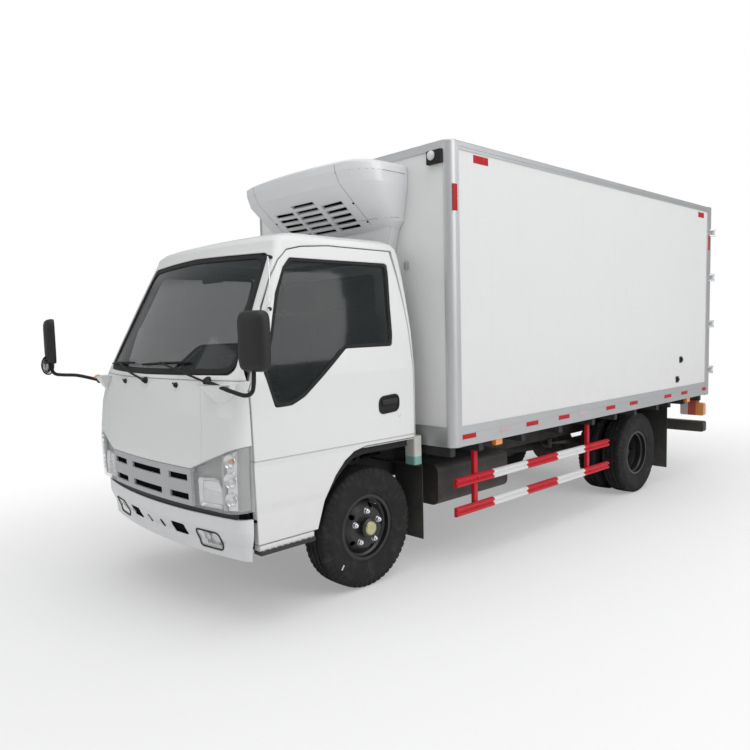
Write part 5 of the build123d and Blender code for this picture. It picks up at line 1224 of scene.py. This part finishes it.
bm, bm_lens, bm_pin = (bmesh.new() for _ in range(3))
for side in (-1, 1):
    add_block(bm, at(side * 0.985, 0.498, 2.6155), at(side * 0.865, 0.528, 2.7015), 0.008)
    lens = [(0, 30), (10, 29), (18, 24), (23, 13), (24, 0)]
    add_turned(bm_lens, at(side * 0.909, 0.504, 2.6685), -Y_AXIS, lens)
    x = side * 0.657
    add_turned(bm_pin, at(x, 0.524, 1.98), Z_AXIS, [(0, 9), (2, 10), (58, 10), (60, 8), (60, 0)], 14)
    add_block(bm_pin, at(x - 0.022, 0.52, 1.988), at(x + 0.022, 0.53, 2.032), 0.002)
piece("front_marker_bases", bm, "rubber", "chassis")
piece("front_marker_lenses", bm_lens, "mark_white", "chassis")
piece("front_wall_pins", bm_pin, "stainless", "chassis")

# rear doors: gaskets in the gap, hinge bolts, lock rod brackets and grips
HINGE_BOLT = [(0, 9), (1, 10), (5, 9.5), (7, 6), (7.2, 0)]
BRACKET_BOLT = [(0, 5), (2, 4.8), (3, 3), (3.1, 0)]
for side, name in SIDES:
    body = "rear_door_" + name
    bm = bmesh.new()
    outline = frame_outline(0.008, 0.967, 0.9035, 2.6735, 0.012, 3)
    add_strip(bm, [(at(side * x, GASKET_BACK, z), Y_AXIS) for x, z in outline], 0.013, 0.005, True)
    piece("rear_door_gasket_" + name, bm, "rubber", body=body)
    bm = bmesh.new()
    for z in (1.08, 1.56, 2.04, 2.5):
        for x in (0.825, 0.875, 0.925):
            add_turned(bm, at(side * x, HINGE_BACK, z), Y_AXIS, HINGE_BOLT, 10)
    for x, grip in ((0.13, 0.28), (0.76, 0.61)):
        for z in (0.96, 1.33, 1.72, 2.2, 2.61):
            for bolt in (x - 0.022, x + 0.022):
                add_turned(bm, at(side * bolt, BRACKET_BACK, z), Y_AXIS, BRACKET_BOLT, 8)
        grip *= side
        bar = [at(grip - 0.05, 4.756, 1.25), at(grip, 4.761, 1.25), at(grip + 0.05, 4.756, 1.25)]
        add_tube(bm, bar, 0.015, 10, 4, Y_AXIS, 0.5)
        add_block(bm, at(side * x - 0.026, 4.7505, 1.215), at(side * x + 0.026, 4.7625, 1.285), 0.004)
    piece("rear_lock_details_" + name, bm, "stainless", body=body)

# tail lamp frames and lens dividers, with a blank plate between them
bm = bmesh.new()
for side in (-1, 1):
    outline = frame_outline(0.8, 1.036, 0.602, 0.728, 0.02, 4)
    add_strip(bm, [(at(side * x, LAMP_BACK, z), Y_AXIS) for x, z in outline], 0.008, 0.004, True)
    for x in (side * 0.878, side * 0.958):
        add_block(bm, at(x - 0.003, 4.656, 0.606), at(x + 0.003, 4.6625, 0.724), 0.001)
piece("tail_lamp_frames", bm, "rubber", "chassis")
bm, bm_frame = bmesh.new(), bmesh.new()
outline = frame_outline(-0.22, 0.22, 0.425, 0.525, 0.014, 3)
add_rings(bm, [[at(x, y, z) for x, z in outline] for y in (4.7405, 4.743)])
add_strip(bm_frame, [(at(x, PLATE_BACK, z), Y_AXIS) for x, z in outline], 0.006, 0.003, True)
for x in (-0.12, 0.12):
    add_turned(bm_frame, at(x, PLATE_BACK, 0.475), Y_AXIS, [(0, 7), (3, 6.5), (4, 0)], 10)
piece("blank_plate", bm, "mark_white", "chassis")
piece("blank_plate_frame", bm_frame, "rubber", "chassis")

# ---- cooling unit
SLOT_PITCH_BACK, SLOT_PITCH_DOWN = 0.0394, 0.034
RIB_PITCH = 0.022
# near-black blocks and ribs set into the unit's slots: painted shade inside the slots
slope = spin(-40.8)
bm = bmesh.new()
for x_from, x_to, first in ((-0.368, -0.158, 1), (-0.119, 0.116, 0), (0.164, 0.361, 1)):
    half = Vector(((x_to - x_from) / 2 - 0.0006, 0.0131, 0.002))
    for k in range(first, 6):
        slot = at((x_from + x_to) / 2, 0.19 + SLOT_PITCH_BACK * k, 2.46 - SLOT_PITCH_DOWN * k)
        inner = slot + slope @ Vector((0, 0, 0.0165))
        add_block(bm, inner - half, inner + half, 0.0004, slope)
        for place in range(int((x_to - x_from) / RIB_PITCH)):
            rib = inner + slope @ Vector((0.012 - half.x + RIB_PITCH * place, 0, -0.004))
            size = Vector((0.0012, 0.0128, 0.004))
            add_block(bm, rib - size, rib + size, 0.0004, slope)
piece("unit_slot_shade_screens", bm, "dark_mesh", "chassis")

unit_skin = skin_of("unit_housing")
FRONT_SEAM = [(0, 0, z) for z in (2.64, 2.6, 2.56, 2.5, 2.42, 2.34, 2.29)]
LOWER_SEAM = [(0, 0.143, 2.463), (0, 0.25, 2.389), (0, 0.335, 2.33), (0, 0.365, 2.32), (0, 0.473, 2.32)]
UPPER_SEAM = [(0, 0.1, 2.59), (0, 0.3, 2.596), (0, 0.5, 2.596)]
bm = bmesh.new()
for x in (0.452, -0.452):
    hits = [front_hit(unit_skin, x, p.z) for p in smooth_line(FRONT_SEAM, 6)]
    add_strip(bm, hits, 0.0035, 0.0016, depth=0.001)
for side in (-1, 1):
    for seam, width, height in ((LOWER_SEAM, 0.0035, 0.0016), (UPPER_SEAM, 0.0045, 0.0014)):
        hits = [side_hit(unit_skin, side, p.y, p.z) for p in smooth_line(seam, 6)]
        add_strip(bm, hits, width, height, depth=0.001)
piece("unit_seams", bm, "seam", "chassis")
bm = bmesh.new()
for x, z in ((0.443, 2.417), (0.443, 2.31), (-0.443, 2.394), (-0.443, 2.31)):
    add_turned(bm, *front_hit(unit_skin, x, z), [(-1, 8.5), (2, 8), (3.5, 5), (3.6, 0)], 12)
piece("unit_screws", bm, "dark_mesh", "chassis")


# ---- floor, light and camera
bpy.ops.mesh.primitive_plane_add(size=400.0, location=(0.0, 0.0, 0.0))
floor = bpy.context.object
floor.name = "floor"
floor.data.materials.append(finishes["pale_floor"])
floor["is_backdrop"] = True

studio = Finish("studio", bpy.data.worlds.new("studio"))
scene.world = studio.owner
ambient = studio.node("ShaderNodeBackground", {}, {"Color": (0.97, 0.98, 1.0), "Strength": 0.47})
white = studio.node("ShaderNodeBackground", {}, {"Color": grey(1.0), "Strength": 1.0})
seen = studio.node("ShaderNodeLightPath", {}, {})
both = studio.node("ShaderNodeMixShader", {}, [seen, ambient, white])
studio.node("ShaderNodeOutputWorld", {}, [both], output=None)

# name, place, aim, size and power of each light
for name, place, aim, size, power in (
    ("sky_panel", (2.0, -2.0, 9.0), (0.0, 0.0, 0.5), (9.0, 9.0), 390.0),
    ("side_panel", (9.0, 2.0, 5.0), (0.5, 0.5, 1.2), (7.0, 5.0), 275.0),
    ("front_panel_light", (-3.0, -9.0, 4.5), (0.0, -2.0, 1.2), (6.0, 4.0), 60.0),
    ("rear_panel_light", (-4.0, 9.0, 4.5), (0.0, 2.0, 1.2), (6.0, 4.0), 110.0),
):
    data = bpy.data.lights.new(name, "AREA")
    data.shape = "RECTANGLE"
    data.size, data.size_y = size
    data.energy = power
    lamp = bpy.data.objects.new(name, data)
    scene.collection.objects.link(lamp)
    lamp.location = place
    lamp.rotation_euler = (Vector(aim) - Vector(place)).to_track_quat("-Z", "Y").to_euler()
    lamp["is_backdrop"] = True

lens = bpy.data.cameras.new("view")
lens.lens = 32.94
lens.sensor_width = 36.0
lens.shift_x = 0.0036
lens.shift_y = 0.0154
camera = bpy.data.objects.new("view", lens)
scene.collection.objects.link(camera)
turn, pitch, roll = 46.367, 4.858, -1.41
aim = spin(turn, "Z") @ spin(90.0 - pitch) @ spin(roll, "Z")
camera.matrix_world = Matrix.Translation((3.8178, -4.5923, 1.6008)) @ aim.to_4x4()
scene.camera = camera
scene.view_settings.view_transform = "Standard"

low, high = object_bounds()
